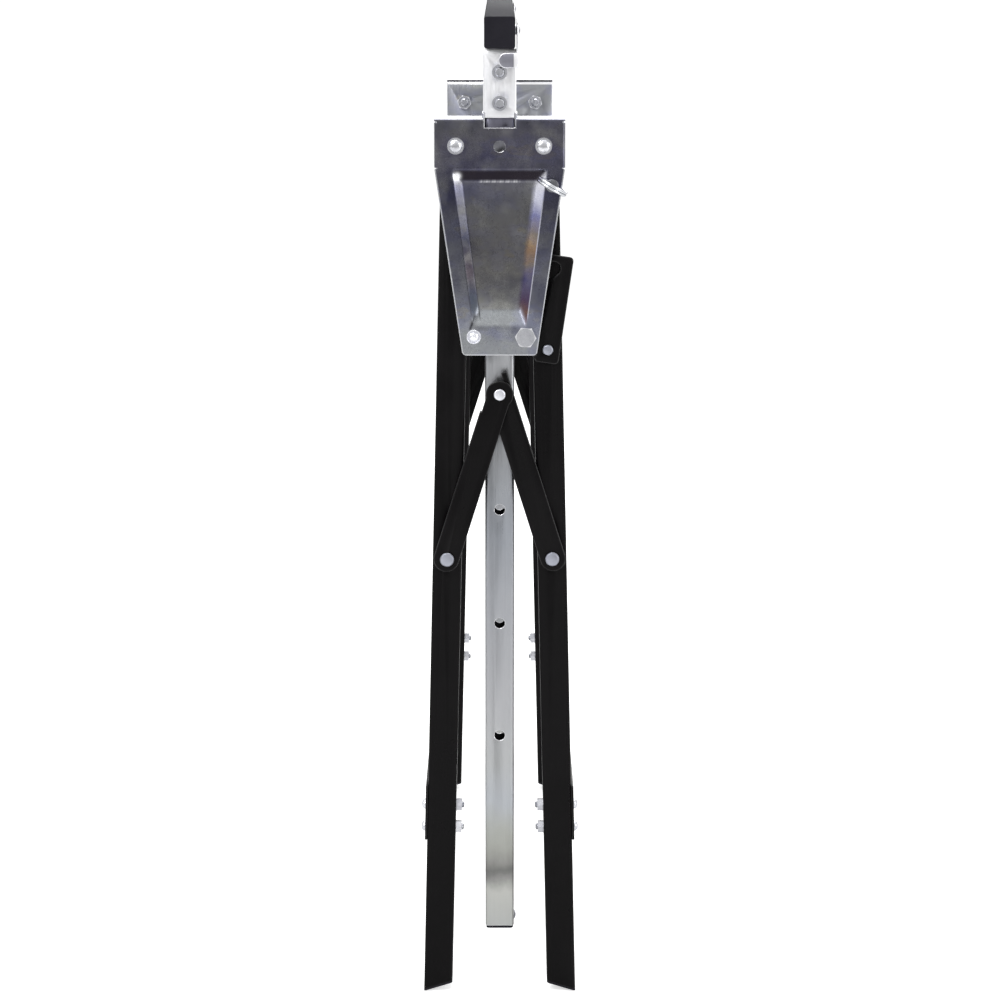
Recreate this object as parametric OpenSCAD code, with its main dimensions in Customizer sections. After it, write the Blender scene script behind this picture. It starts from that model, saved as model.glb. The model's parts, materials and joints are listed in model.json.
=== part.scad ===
// Adjustable folding trestle, folded and lowered as it is carried.
// +Z up, X across the legs, Y along the top bar. The origin is on the floor
// under the middle. Depth means the distance inward from the outer face of an
// end bracket. One end is drawn, and the other end is its mirror image.

/* [Overall] */
// Distance between the outer faces of the two end brackets
trestle_length = 700; // [500:10:1200]
// How far each pair of legs swings out to stand
fold_angle = 17; // [12:0.5:18]
// Lean of the folded legs from upright
rest_lean = 1.34; // [0.8:0.1:2.5]

/* [Legs] */
// Side of the square leg tube
leg_side = 25; // [20:0.5:30]
// Wall of the leg tube
leg_wall = 1.5; // [1:0.1:2.5]
// Corner radius of the leg tube
leg_corner = 2.2; // [1:0.1:4]
// From the hinge to the lowest corner of the foot, along the leg
leg_below_hinge = 746.2; // [650:1:900]
// How far the leg reaches above its hinge
leg_above_hinge = 14; // [12:0.5:20]
// Flange of the plastic foot plug
foot_flange = 1.6; // [1:0.1:4]
// How far the foot plug reaches into the tube
foot_insert = 16; // [8:1:30]

/* [End brackets] */
// Sheet thickness of the bracket plates
plate_thick = 2; // [1.5:0.1:3]
// Space between the outer and the inner bracket plate
plate_space = 34; // [30:0.5:45]
// Height of the straight upper part of a bracket
plate_straight = 41.2; // [35:0.5:60]
// Bracket edge beyond the hinge bolt
plate_side_margin = 18.2; // [15:0.5:30]
// Bracket edge beyond the lower bolts
plate_low_margin = 9.5; // [8:0.5:20]
// Bracket edge below the lower bolts
plate_foot_margin = 15.9; // [10:0.1:20]
// Depth of the folded side lips of the outer plate
lip_depth = 8; // [4:0.5:9]
// Depth of the pressed recess
recess_depth = 4.8; // [2:0.1:5]
// Rim between the recess and the edge of the plate, at the recess's top corners
recess_rim = 14.5; // [12:0.5:25]
// Top of the recess below the hinge bolts
recess_drop = 19.9; // [15:0.5:30]
// Length of the recess
recess_length = 132.8; // [100:1:150]
// Half width of the recess at its lower end
recess_low_half = 22.9; // [18:0.5:28]
// Width of the sloping wall of the recess along its sides
recess_slope = 7.4; // [5:0.5:12]
// Height of the sloping wall at the top and at the bottom of the recess
recess_slopes_z = [9.8, 14.7];

/* [Hinges and bolts] */
// Thread size of the hinge bolts
hinge_bolt_d = 8; // [6:1:10]
// Head width of the hinge bolts
hinge_head_d = 11; // [10:0.5:14]
// Flange of the hinge bolts' heads
hinge_flange_d = 14.4; // [12:0.1:18]
// Thickness of that flange
hinge_flange_h = 0.7; // [0.5:0.1:1.5]
// Head height of the hinge bolts
hinge_head_h = 3.2; // [2:0.1:6]
// Outer size of the hinge spacers
hinge_bush_d = 14; // [11:0.5:18]
// Running clearance of a pivot on its radius
run_fit = 0.05; // [0.02:0.01:0.1]
// Shank of the lower bolt that the hook lever catches
hook_bolt_d = 10; // [8:0.5:12]
// Width across flats of the lower bolt's head
hook_bolt_flats = 16; // [14:0.5:19]
// Head height of the lower bolt
hook_bolt_head = 5.5; // [4:0.1:8]
// Outer size of the spacers on the lower bolts
guide_bush_d = 12; // [11:0.5:14]
// Shank of the lower rivet
guide_rivet_d = 8; // [6:0.5:9]
// Head width of the lower rivet and of the brace rivets
rivet_head_d = 12.2; // [9:0.1:14]
// Head height of the rivets
rivet_head_h = 2; // [1.5:0.1:4]
// Shank of the brace rivets
rivet_d = 6; // [5:0.5:7]
// Height of the hinge line above the lower bolts
lower_bolt_drop = 161.2; // [150:1:180]

/* [Posts] */
// Side of the square post tube
post_side = 25; // [20:0.5:30]
// Wall of the post tube
post_wall = 1.5; // [1:0.1:2.5]
// Corner radius of the post tube
post_corner = 2.5; // [1:0.1:4]
// Height of the lower end of the lowered post
post_foot_z = 60.5; // [40:0.5:120]
// Size of the height holes
post_hole_d = 9; // [8:0.5:11]
// Height of the lowest hole of the lowered post
first_hole_z = 233.4; // [180:1:300]
// Distance between height holes
hole_pitch = 100; // [60:1:120]
// Number of height holes
hole_count = 6; // [3:1:6]
// Flange of the plug under the post
plug_flange = 2.5; // [1:0.1:5]
// Height of the head of the stop screw above the lower end of the post
stop_screw_up = 6.6; // [5.5:0.1:20]
// Head width of the stop screw
stop_screw_d = 9; // [6:0.5:10]
// Height of the stop screw's head
stop_screw_h = 1.9; // [1:0.1:2]

/* [Post guide] */
// Wall of the folded guide round the post
guide_wall = 2; // [1.5:0.1:3]
// Clearance of the post in its guide
guide_gap = 0.3; // [0.2:0.05:0.6]
// How far the ears of the guide rise over the bracket
guide_rise = 4.3; // [3:0.1:10]
// Length of the front wall of the guide
guide_front = 70.5; // [50:0.5:80]
// How far the guide's lower side walls stand behind the front of the post
guide_step_back = 6; // [5:0.5:9]
// Size of the locking hole
lock_hole_d = 10; // [9:0.5:12]

/* [Top bar] */
// Side of the square top bar
bar_side = 25; // [20:0.5:30]
// Wall of the top bar
bar_wall = 1.5; // [1:0.1:2.5]
// Corner radius of the top bar
bar_corner = 2; // [1:0.1:4]
// Thickness of the rubber pad on the bar
pad_thick = 2; // [1:0.1:4]
// Thickness of the pad's side lips
pad_side = 0.6; // [0.4:0.1:2]
// Height of the pad's side lips
pad_lip = 5; // [2:0.5:5.5]
// Height of the bar's underside above the end brackets
bar_lift = 57.8; // [55:0.1:90]
// Flange of the bar's end caps
cap_flange = 1; // [0.5:0.1:3]

/* [Saddles] */
// Sheet thickness of the saddle that joins a post to the bar
saddle_wall = 1.5; // [1:0.1:3]
// Half width of the saddle
saddle_half = 14; // [13:0.5:20]
// Half width of the saddle's tongue between the guide's ears
tongue_half = 12.4; // [8:0.1:12.6]
// Drop of the two saddle bolts below the bar
saddle_bolt_drops = [19.4, 45.3];
// Thread size of the saddle bolts
saddle_bolt_d = 8; // [5:0.5:8]
// Width across flats of the saddle nuts
saddle_nut_flats = 13; // [8:0.5:15]
// Height of the saddle nuts
saddle_nut_h = 6.5; // [4:0.1:8]

/* [End stops] */
// Sheet thickness of the flip-up end stops
stop_sheet = 1.5; // [1:0.1:3]
// Width of the arm of an end stop
stop_arm = 20; // [14:0.5:26]
// Pivot of an end stop below the top of the bar
stop_pivot_drop = 9.5; // [8:0.1:14]
// Depth of the pivot from the end of the bar
stop_pivot_depth = 12; // [11:0.1:20]
// Length of the arm below its pivot
stop_reach = 31.3; // [25:0.1:45]
// Height of the tab of an end stop
tab_h = 12.6; // [8:0.1:20]
// Length of the tab from the outside of the arm
tab_w = 16.7; // [14:0.1:28]
// Gap between the end of the bar and the tab
tab_gap = 1.5; // [0.5:0.1:4]

/* [Braces] */
// Sheet thickness of the braces
brace_sheet = 2.5; // [2:0.1:4]
// Width of a brace
brace_w = 23; // [18:0.5:28]
// Distance between the rivets of a brace
brace_length = 150.2; // [149:0.1:160]
// Distance from the hinge to the brace rivet, along the leg
brace_down = 354.4; // [300:1:357]
// Depth of the front face of the left brace
brace_front = 1.6; // [1:0.1:2]
// Gap between the two braces
brace_gap = 0.3; // [0.2:0.05:1]
// Where the flange of the left brace begins, from the centre rivet
shoulder_u = 19; // [14:0.1:20]
// How far the stop of the right brace reaches past the centre rivet
thorn_u = 16.9; // [14:0.1:18]
// Head width of the centre rivet
centre_head_d = 10; // [8:0.1:14]

/* [Hook levers] */
// Sheet thickness of the hook levers
lever_sheet = 3; // [2:0.1:3.2]
// Width of a hook lever
lever_w = 21; // [18:0.5:26]
// Reach of the lever above its rivet
lever_tip = 81; // [78:0.5:95]
// Reach of the lever below its rivet
lever_tail = 11.5; // [9:0.5:16]
// Distance from the hinge to the lever's rivet, along the leg
lever_down = 173.35; // [170:0.1:180]
// Tilt of the folded lever from upright
lever_tilt = 8.3; // [5:0.1:12]
// Distance of the caught bolt from the lever's middle line
notch_side = 5; // [3:0.1:6]
// Clearance of the bolt in the notch, on its radius
notch_gap = 0.5; // [0.3:0.05:1]
// Slant of the lead-in of the notch
notch_slant = 52; // [45:1:58]

/* [Side struts] */
// Thickness of the strips that join the front and the rear leg
strut_sheet = 2; // [1.5:0.1:4]
// Height of a strip
strut_h = 48.8; // [35:0.1:70]
// Height of the lower edge of a folded strip
strut_z = 138.5; // [100:1:300]
// Distance between the two bolts at each end
strut_bolt_pitch = 20; // [15:0.5:30]
// Middle of the two bolts below the middle of the strip
strut_bolt_drop = 5; // [0:0.5:8]
// Thread size of the strut bolts
strut_bolt_d = 6; // [4:0.5:6]
// Head width and head height of the strut bolts
strut_head = [9.6, 3.5];
// Width across flats and height of the strut nuts
strut_nut = [10, 5];

/* [Locking pins] */
// Size of the locking pin
pin_d = 8; // [6:0.5:8.5]
// Place of the parked pin beyond the hinge bolt
pin_side = 7; // [5:0.1:9]
// Place of the parked pin below the hinge bolt
pin_drop = 32.7; // [30:0.1:36]
// Length of the pin's head in front of the bracket
pin_head_h = 8; // [7:0.1:12]
// Size of the pin's nose
pin_nose_d = 4; // [3:0.1:5]
// Length of the pin's nose
pin_nose = 3; // [2:0.1:5]
// Outer size of the split ring
ring_d = 28; // [20:0.5:36]
// Wire of the split ring
ring_wire = 1.9; // [1.2:0.1:3]
// Tilt of the split ring from level
ring_tilt = 30; // [0:1:60]

/* [Head rail] */
// Width of the rail that joins the two end brackets
rail_w = 60; // [40:1:64]
// Height of the rail
rail_h = 30; // [20:1:45]
// Sheet thickness of the rail
rail_sheet = 2; // [1.5:0.1:3]
// Top of the rail below the top of the brackets
rail_drop = 36; // [34:1:60]

/* [Hidden] */
$fn = 48;
// Overrun of a cut
cut = 1;
// Steps round a rounded corner
corner_steps = 4;
// Small gap where painted parts pass each other
part_gap = 0.3;
// Gap where a seated part lies on its seat
seat_gap = 0.3;
// Straight part of a rivet head's edge
head_edge_share = 0.6;
// Turned face of a hexagonal head, as a share of its flats
head_turned_share = 0.95;

// Depths from the outer face of an end bracket
end_y = -trestle_length / 2;
tube_back_gap = 0.6;
tube_front = plate_thick + plate_space - tube_back_gap - leg_side;
tube_back = tube_front + leg_side;
inner_front = plate_thick + plate_space;
inner_back = inner_front + plate_thick;
post_front = tube_front;
post_back = post_front + post_side;

// Hinges
open_lean = rest_lean + fold_angle;
leg_sweep = norm([leg_side / 2, leg_above_hinge]);
guide_out = post_side / 2 + guide_gap + guide_wall;
leg_to_guide = 3.43;
hinge_x = guide_out + leg_sweep + leg_to_guide;
hinge_z = leg_below_hinge * cos(rest_lean) - leg_side / 2 * sin(rest_lean);
hinge_bore_r = hinge_bolt_d / 2 + run_fit;

// End brackets
web_gap = 2.23;
plate_top = hinge_z + leg_sweep + web_gap + plate_thick;
shoulder_z = plate_top - plate_straight;
lower_z = hinge_z - lower_bolt_drop;
plate_bottom = lower_z - plate_foot_margin;
function leg_axis_x(z, lean) = hinge_x + (hinge_z - z) * tan(lean);
guide_x = leg_axis_x(lower_z, rest_lean) - leg_side / 2 / cos(rest_lean)
    - guide_bush_d / 2 - part_gap;
top_half = hinge_x + plate_side_margin;
low_half = guide_x + plate_low_margin;
plate_corner = 3;
shoulder_round = 12;
lip_end_step = 2.4;
saddle_clear = 1;
notch_half = post_side / 2 + 1.4 * guide_gap + saddle_clear;
notch_drop = 8.2;
lock_z = plate_top - 23.6;
recess_top = hinge_z - recess_drop;
recess_bottom = recess_top - recess_length;
rim_taper = 0.5;
recess_top_half = top_half - recess_rim - rim_taper;
recess_round = 4;

// Post guide
guide_front_d = post_front - guide_gap - guide_wall;
guide_top = plate_top + guide_rise;
guide_front_top = plate_top - notch_drop;
lift_range = lock_z - first_hole_z;
stop_screw_z = post_foot_z + stop_screw_up;
guide_bottom = stop_screw_z + stop_screw_d / 2 + lift_range + seat_gap;

// Top bar and saddles
bar_bottom = plate_top + bar_lift;
bar_top = bar_bottom + bar_side;
pad_top = bar_top + pad_thick;
saddle_depth = post_front - saddle_wall;
saddle_bend = 3.5;
saddle_foot = guide_top + seat_gap;
tongue_foot = plate_top - 0.7 * guide_gap;
post_top = bar_bottom - saddle_bend;

// Braces
leg_brace_x = hinge_x + brace_down * sin(rest_lean);
leg_brace_z = hinge_z - brace_down * cos(rest_lean);
brace_lean = asin(leg_brace_x / brace_length);
centre_z = leg_brace_z + brace_length * cos(brace_lean);
open_brace_x = hinge_x + brace_down * sin(open_lean);
open_brace_lean = asin(open_brace_x / brace_length);
brace_turn = open_brace_lean - brace_lean;
left_brace_back = brace_front + brace_sheet;
right_brace_front = left_brace_back + brace_gap;
right_brace_back = right_brace_front + brace_sheet;
brace_flange_back = post_front - part_gap;
brace_eye = brace_w / 2 + 0.8 * brace_gap;

// Hook levers
lever_back = post_front - part_gap;
lever_front = lever_back - lever_sheet;
lever_x = hinge_x + lever_down * sin(rest_lean);
lever_z = hinge_z - lever_down * cos(rest_lean);
lever_open_x = hinge_x + lever_down * sin(open_lean);
lever_open_z = hinge_z - lever_down * cos(open_lean);
hook_reach = norm([lever_open_x - guide_x, lower_z - lever_open_z]);
notch_along = sqrt(hook_reach * hook_reach - notch_side * notch_side);
lever_corner = 3.5;
lever_rivet_head = 9.5;

// Struts
strut_out = leg_side / 2;
strut_mid_z = strut_z + strut_h / 2;

// Pins
pin_x = hinge_x + pin_side;
pin_z = hinge_z - pin_drop;
pin_bush_d = 10.6;
pin_hole_d = 9.4;
// The parked pin in the leg's own frame
pin_leg = [
    pin_side * cos(rest_lean) - pin_drop * sin(rest_lean),
    -pin_drop * cos(rest_lean) - pin_side * sin(rest_lean)
];

// Rail, stop screws, end stops and ring
rail_top = plate_top - rail_drop;
rail_flange = 16;
rail_bolt_d = 6;
rail_bolt_x = rail_w / 2 - rail_sheet - rail_bolt_d - part_gap;
stop_shank_d = 5;
stop_washer = 1.8;
stop_washer_d = 2 * (stop_pivot_drop - pad_lip - part_gap);
stop_rivet_x = bar_side / 2;
stop_z = bar_top - stop_pivot_drop;
stop_y = stop_pivot_depth;
pin_shank_back = tube_front - part_gap;
ring_centre_d = -pin_head_h / 2;
pin_head_d = 11;
ring_hole_r = ring_wire + 0.4 * ring_wire;

echo(hinge_x = hinge_x, hinge_z = hinge_z, plate_top = plate_top, pad_top = pad_top);
echo(leg_brace = [leg_brace_x, leg_brace_z], centre_z = centre_z, brace_turn = brace_turn);
echo(lever = [lever_x, lever_z], notch_along = notch_along, lower = [guide_x, lower_z]);
echo(lever_open_angle = atan2(guide_x - lever_open_x, lower_z - lever_open_z)
    + asin(notch_side / hook_reach), lift_range = lift_range, guide_bottom = guide_bottom);

// Shapes in common

function toward(v) = v / norm(v);
// The points of a rounded corner b between its neighbours a and c
function corner_arc(a, b, c, r) =
    let (
        u = toward(a - b),
        v = toward(c - b),
        half = acos(u * v) / 2,
        o = b + toward(u + v) * r / sin(half),
        p = b + u * r / tan(half) - o,
        q = b + v * r / tan(half) - o,
        start = atan2(p[1], p[0]),
        sweep = (atan2(q[1], q[0]) - start + 540) % 360 - 180
    )
    [for (i = [0:corner_steps]) o + r * [
        cos(start + sweep * i / corner_steps),
        sin(start + sweep * i / corner_steps)
    ]];
// An outline with a radius at each corner
function rounded(pts, radii) =
    let (n = len(pts))
    [for (i = [0:n - 1]) each (radii[i] == 0 ? [pts[i]] :
        corner_arc(pts[(i + n - 1) % n], pts[i], pts[(i + 1) % n], radii[i]))];
function box_outline(w, h, r) =
    rounded([[-w / 2, -h / 2], [w / 2, -h / 2], [w / 2, h / 2], [-w / 2, h / 2]], [r, r, r, r]);

module both_ends() {
    children();
    mirror([0, 1, 0]) children();
}

module both_sides() {
    children();
    mirror([1, 0, 0]) children();
}

// A flat shape drawn in X and Z, as sheet between two depths
module sheet(from_d, to_d) {
    translate([0, end_y + to_d, 0])
        rotate([90, 0, 0])
            linear_extrude(height = to_d - from_d) children();
}

// A round rod along Y between two depths
module rod(x, z, from_d, to_d, r) {
    translate([x, end_y + to_d, z])
        rotate([90, 0, 0])
            cylinder(h = to_d - from_d, r = r);
}

module ring_rod(x, z, from_d, to_d, r, bore) {
    difference() {
        rod(x, z, from_d, to_d, r);
        rod(x, z, from_d - cut, to_d + cut, bore);
    }
}

// A hexagon along Y
module hex_rod(x, z, from_d, to_d, flats, turn = 0) {
    translate([x, end_y + to_d, z])
        rotate([90, turn, 0])
            cylinder(h = to_d - from_d, r = flats / sqrt(3), $fn = 6);
}

// A domed head standing on the XY plane
module dome(d, h) {
    ball = (d * d / 4 + h * h) / (2 * h);
    intersection() {
        translate([0, 0, h - ball]) sphere(r = ball);
        cylinder(h = h, r = d / 2 + cut);
    }
}

// A domed head on the face at a depth, pointing out of the bracket
module dome_out(x, z, face_d, d, h) {
    translate([x, end_y + face_d, z]) rotate([90, 0, 0]) dome(d, h);
}

// A flat rivet head with a sloping edge, standing on the XY plane
module flat_head(d, h) {
    cylinder(h = h * head_edge_share, r = d / 2);
    translate([0, 0, h * head_edge_share])
        cylinder(h = h * (1 - head_edge_share), r1 = d / 2, r2 = d / 2 - h * (1 - head_edge_share));
}

module flat_head_out(x, z, face_d, d, h) {
    translate([x, end_y + face_d, z]) rotate([90, 0, 0]) flat_head(d, h);
}

// A hexagonal head with its corners turned off, pointing out of the bracket
module hex_head_out(x, z, face_d, flats, h) {
    face_r = flats * head_turned_share / 2;
    intersection() {
        hex_rod(x, z, face_d - h, face_d, flats, 10);
        translate([x, end_y + face_d, z]) rotate([90, 0, 0])
            cylinder(h = h, r1 = face_r + h * tan(60), r2 = face_r);
    }
}

// A square tube standing on the XY plane
module tube(side, wall, corner, h) {
    linear_extrude(height = h) difference() {
        polygon(box_outline(side, side, corner));
        polygon(box_outline(side - 2 * wall, side - 2 * wall, max(corner - wall, wall / 4)));
    }
}

// A nut with its bore, outward of a depth when it points out
module nut(x, z, from_d, to_d, flats, bore_d) {
    difference() {
        hex_rod(x, z, from_d, to_d, flats);
        rod(x, z, from_d - cut, to_d + cut, bore_d / 2 + run_fit);
    }
}

// End brackets

function plate_half(z) = z > shoulder_z ? top_half
    : low_half + (top_half - low_half) * (z - plate_bottom) / (shoulder_z - plate_bottom);

module plate_outline(top) {
    polygon(rounded([
        [-low_half, plate_bottom], [low_half, plate_bottom], [top_half, shoulder_z],
        [top_half, top], [-top_half, top], [-top_half, shoulder_z]
    ], [plate_corner, plate_corner, shoulder_round, 0, 0, shoulder_round]));
}

module recess_outline(grow, top_slope, bottom_slope) {
    top = recess_top - top_slope;
    bottom = recess_bottom + bottom_slope;
    polygon(rounded([
        [-recess_low_half - grow, bottom], [recess_low_half + grow, bottom],
        [recess_top_half + grow, top], [-recess_top_half - grow, top]
    ], [recess_round, recess_round, recess_round, recess_round]));
}

// The pressed form between a depth and the same form behind it
module recess_form(from_d) {
    hull() {
        sheet(from_d - cut / 100, from_d)
            recess_outline(0, 0, 0);
        sheet(from_d, from_d + recess_depth)
            recess_outline(-recess_slope, recess_slopes_z[0], recess_slopes_z[1]);
    }
}

module bracket_holes(from_d, to_d) {
    both_sides() {
        rod(hinge_x, hinge_z, from_d, to_d, hinge_bore_r);
    }
    rod(-guide_x, lower_z, from_d, to_d, guide_rivet_d / 2 + run_fit);
    rod(guide_x, lower_z, from_d, to_d, hook_bolt_d / 2 + run_fit);
}

module outer_plate() {
    difference() {
        union() {
            sheet(0, plate_thick) plate_outline(plate_top);
            // top web, folded back over the inner plate
            sheet(0, inner_back) translate([-top_half, plate_top - plate_thick])
                square([2 * top_half, plate_thick]);
            // side lips
            both_sides() sheet(0, lip_depth)
                translate([top_half - plate_thick, shoulder_z - lip_end_step])
                square([plate_thick, plate_top - shoulder_z + lip_end_step]);
            recess_form(plate_thick);
        }
        recess_form(0);
        // opening of the web for the guide, and the notch in front of it
        sheet(guide_front_d - seat_gap, inner_back + cut)
            translate([-guide_out - seat_gap, plate_top - plate_thick - cut])
            square([2 * (guide_out + seat_gap), plate_thick + 2 * cut]);
        sheet(-cut, guide_front_d)
            translate([-notch_half, plate_top - notch_drop])
            square([2 * notch_half, notch_drop + cut]);
        bracket_holes(-cut, plate_thick + cut);
        rod(0, lock_z, -cut, plate_thick + cut, lock_hole_d / 2);
        rod(pin_x, pin_z, -cut, plate_thick + cut, pin_d / 2 + run_fit);
    }
}

module front_outer_plate() { color("slategray") outer_plate(); }
module rear_outer_plate() { color("slategray") mirror([0, 1, 0]) outer_plate(); }

module inner_plate() {
    difference() {
        sheet(inner_front, inner_back) plate_outline(plate_top - plate_thick);
        bracket_holes(inner_front - cut, inner_back + cut);
        rod(0, lock_z, inner_front - cut, inner_back + cut, lock_hole_d / 2);
        rail_bolt_holes(inner_front - cut, inner_back + cut);
    }
}

module front_inner_plate() { color("lightsteelblue") inner_plate(); }
module rear_inner_plate() { color("lightsteelblue") mirror([0, 1, 0]) inner_plate(); }

// Folded guide: a U round the post that is closed by the inner plate
module post_guide() {
    low_front = post_front + guide_step_back;
    front_low = guide_front_top - guide_front;
    difference() {
        union() {
            both_sides() translate([guide_out - guide_wall, end_y, 0]) {
                translate([0, guide_front_d, front_low])
                    cube([guide_wall, inner_front - guide_front_d, guide_top - front_low]);
                translate([0, low_front, guide_bottom])
                    cube([guide_wall, inner_front - low_front, front_low - guide_bottom]);
            }
            sheet(guide_front_d, guide_front_d + guide_wall)
                translate([-guide_out, front_low])
                square([2 * guide_out, guide_front]);
        }
        rod(0, lock_z, guide_front_d - cut, guide_front_d + guide_wall + cut, lock_hole_d / 2);
    }
}

module front_post_guide() { color("silver") post_guide(); }
module rear_post_guide() { color("silver") mirror([0, 1, 0]) post_guide(); }

module rail_bolt_holes(from_d, to_d) {
    both_sides() rod(rail_bolt_x, rail_top - rail_h / 2, from_d, to_d, rail_bolt_d / 2 + run_fit);
}

// Open channel between the inner plates, with a flange folded out at each end
module head_rail() {
    run = trestle_length - 2 * inner_back;
    color("silver") difference() {
        union() {
            translate([-rail_w / 2, -run / 2, rail_top - rail_sheet])
                cube([rail_w, run, rail_sheet]);
            both_sides() translate([rail_w / 2 - rail_sheet, -run / 2, rail_top - rail_h])
                cube([rail_sheet, run, rail_h]);
            both_ends() both_sides() sheet(inner_back, inner_back + rail_sheet)
                translate([rail_w / 2 - rail_flange, rail_top - rail_h])
                square([rail_flange, rail_h]);
        }
        both_ends() rail_bolt_holes(inner_back - cut, inner_back + rail_sheet + cut);
    }
}

module head_rail_bolts() {
    color("silver") both_ends() both_sides() {
        z = rail_top - rail_h / 2;
        rod(rail_bolt_x, z, inner_front - plate_thick / 4,
            inner_back + rail_sheet + rail_bolt_d, rail_bolt_d / 2);
        hex_rod(rail_bolt_x, z, inner_back + rail_sheet, inner_back + rail_sheet + rail_bolt_d * 2 / 3,
            rail_bolt_d * 5 / 3);
    }
}

// Hinges and lower fasteners

module hinge_bolts() {
    color("gainsboro") both_ends() both_sides() {
        rod(hinge_x, hinge_z, -hinge_flange_h, 0, hinge_flange_d / 2);
        dome_out(hinge_x, hinge_z, -hinge_flange_h, hinge_head_d, hinge_head_h - hinge_flange_h);
        rod(hinge_x, hinge_z, 0, inner_back + hinge_bolt_d + plate_thick, hinge_bolt_d / 2);
    }
}

module hinge_nuts() {
    color("silver") both_ends() both_sides()
        nut(hinge_x, hinge_z, inner_back, inner_back + hinge_bolt_d, hinge_bolt_d * 1.625,
            hinge_bolt_d);
}

module hinge_bushes() {
    color("silver") both_ends() both_sides()
        ring_rod(hinge_x, hinge_z, plate_thick, tube_front - part_gap, hinge_bush_d / 2,
            hinge_bore_r);
}

module guide_rivets() {
    color("silver") both_ends() {
        flat_head_out(-guide_x, lower_z, 0, rivet_head_d, rivet_head_h);
        rod(-guide_x, lower_z, 0, inner_back + plate_thick, guide_rivet_d / 2);
        rod(-guide_x, lower_z, inner_back, inner_back + plate_thick, rivet_head_d / 2);
    }
}

// Spacers: the long one is on the rivet, the short one leaves the bolt bare for the hook
module guide_bushes() {
    color("silver") both_ends() {
        ring_rod(-guide_x, lower_z, plate_thick, inner_front, guide_bush_d / 2,
            guide_rivet_d / 2 + run_fit);
        ring_rod(guide_x, lower_z, post_front, inner_front, guide_bush_d / 2,
            hook_bolt_d / 2 + run_fit);
    }
}

module hook_bolts() {
    color("silver") both_ends() {
        rod(guide_x, lower_z, 0, inner_back + hook_bolt_d, hook_bolt_d / 2);
        hex_head_out(guide_x, lower_z, 0, hook_bolt_flats, hook_bolt_head);
    }
}

module hook_bolt_nuts() {
    color("silver") both_ends()
        nut(guide_x, lower_z, inner_back, inner_back + hook_bolt_d * 0.8, hook_bolt_flats,
            hook_bolt_d);
}

module pin_bushes() {
    color("silver") both_ends()
        ring_rod(pin_x, pin_z, plate_thick, lip_depth, pin_bush_d / 2, pin_d / 2 + run_fit);
}

// Legs

// The right leg's own frame: the hinge at its origin, the leg down along -Z
module place_right(lean) {
    translate([hinge_x, 0, hinge_z]) rotate([0, -lean, 0]) children();
}

// Half space under the foot's cut, which lies level when the legs stand open
module foot_cut_space(raise) {
    translate([leg_side / 2, 0, -leg_below_hinge])
        rotate([0, open_lean, 0])
            translate([-3 * leg_side, -trestle_length, raise - 2 * leg_side])
                cube([6 * leg_side, 2 * trestle_length, 2 * leg_side]);
}

module leg_solid(corner) {
    translate([0, end_y + tube_front + leg_side / 2, -leg_below_hinge - leg_side])
        linear_extrude(height = leg_below_hinge + leg_side + leg_above_hinge)
            polygon(box_outline(leg_side, leg_side, corner));
}

module leg_bore(z, r) {
    translate([0, end_y + tube_front - cut, z])
        rotate([-90, 0, 0])
            cylinder(h = leg_side + 2 * cut, r = r);
}

// Hole in the front wall only
module leg_front_bore(x, z, r) {
    translate([x, end_y + tube_front - cut, z])
        rotate([-90, 0, 0])
            cylinder(h = leg_wall + 2 * cut, r = r);
}

module leg_strut_bores() {
    for (i = [0, 1])
        translate([-leg_side / 2 - cut, end_y + tube_front + leg_side / 2, strut_bolt_at(i)])
            rotate([0, 90, 0])
                cylinder(h = leg_side + 2 * cut, r = strut_bolt_d / 2 + run_fit);
}

// Height of a strut bolt in the leg's own frame
function strut_bolt_at(i) = (strut_mid_z - strut_bolt_drop - hinge_z) / cos(rest_lean)
    + (i - 1 / 2) * strut_bolt_pitch;

module right_leg(has_lever, has_pin) {
    inner = leg_side - 2 * leg_wall;
    place_right(rest_lean) difference() {
        leg_solid(leg_corner);
        translate([0, end_y + tube_front + leg_side / 2, -leg_below_hinge - 2 * leg_side])
            linear_extrude(height = leg_below_hinge + 3 * leg_side)
                polygon(box_outline(inner, inner, leg_corner - leg_wall));
        translate([0, 0, 0]) foot_cut_space(foot_flange);
        leg_bore(0, hinge_bore_r);
        leg_front_bore(0, -brace_down, rivet_d / 2 + run_fit);
        if (has_lever) leg_front_bore(0, -lever_down, rivet_d / 2 + run_fit);
        if (has_pin) leg_front_bore(pin_leg[0], pin_leg[1], pin_hole_d / 2);
        leg_strut_bores();
    }
}

module front_right_leg() { color("dimgray") right_leg(true, true); }
module rear_right_leg() { color("dimgray") mirror([0, 1, 0]) right_leg(true, true); }
module front_left_leg() { color("dimgray") mirror([1, 0, 0]) right_leg(false, false); }
module rear_left_leg() {
    color("dimgray") mirror([0, 1, 0]) mirror([1, 0, 0]) right_leg(false, false);
}

module foot_plugs() {
    inner = leg_side - 2 * leg_wall - 2 * run_fit;
    place_right(rest_lean) both_ends() difference() {
        union() {
            intersection() {
                leg_solid(leg_corner);
                foot_cut_space(foot_flange);
            }
            translate([0, end_y + tube_front + leg_side / 2, -leg_below_hinge])
                linear_extrude(height = foot_insert)
                    polygon(box_outline(inner, inner, leg_corner - leg_wall));
        }
        foot_cut_space(0);
    }
}

module right_foot_plugs() { color("black") foot_plugs(); }
module left_foot_plugs() { color("black") mirror([1, 0, 0]) foot_plugs(); }

// Side struts

module strut() {
    run = trestle_length - 2 * tube_front;
    place_right(rest_lean) difference() {
        translate([strut_out, -run / 2, (strut_mid_z - hinge_z) / cos(rest_lean) - strut_h / 2])
            cube([strut_sheet, run, strut_h]);
        both_ends() leg_strut_bores_out();
    }
}

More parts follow.
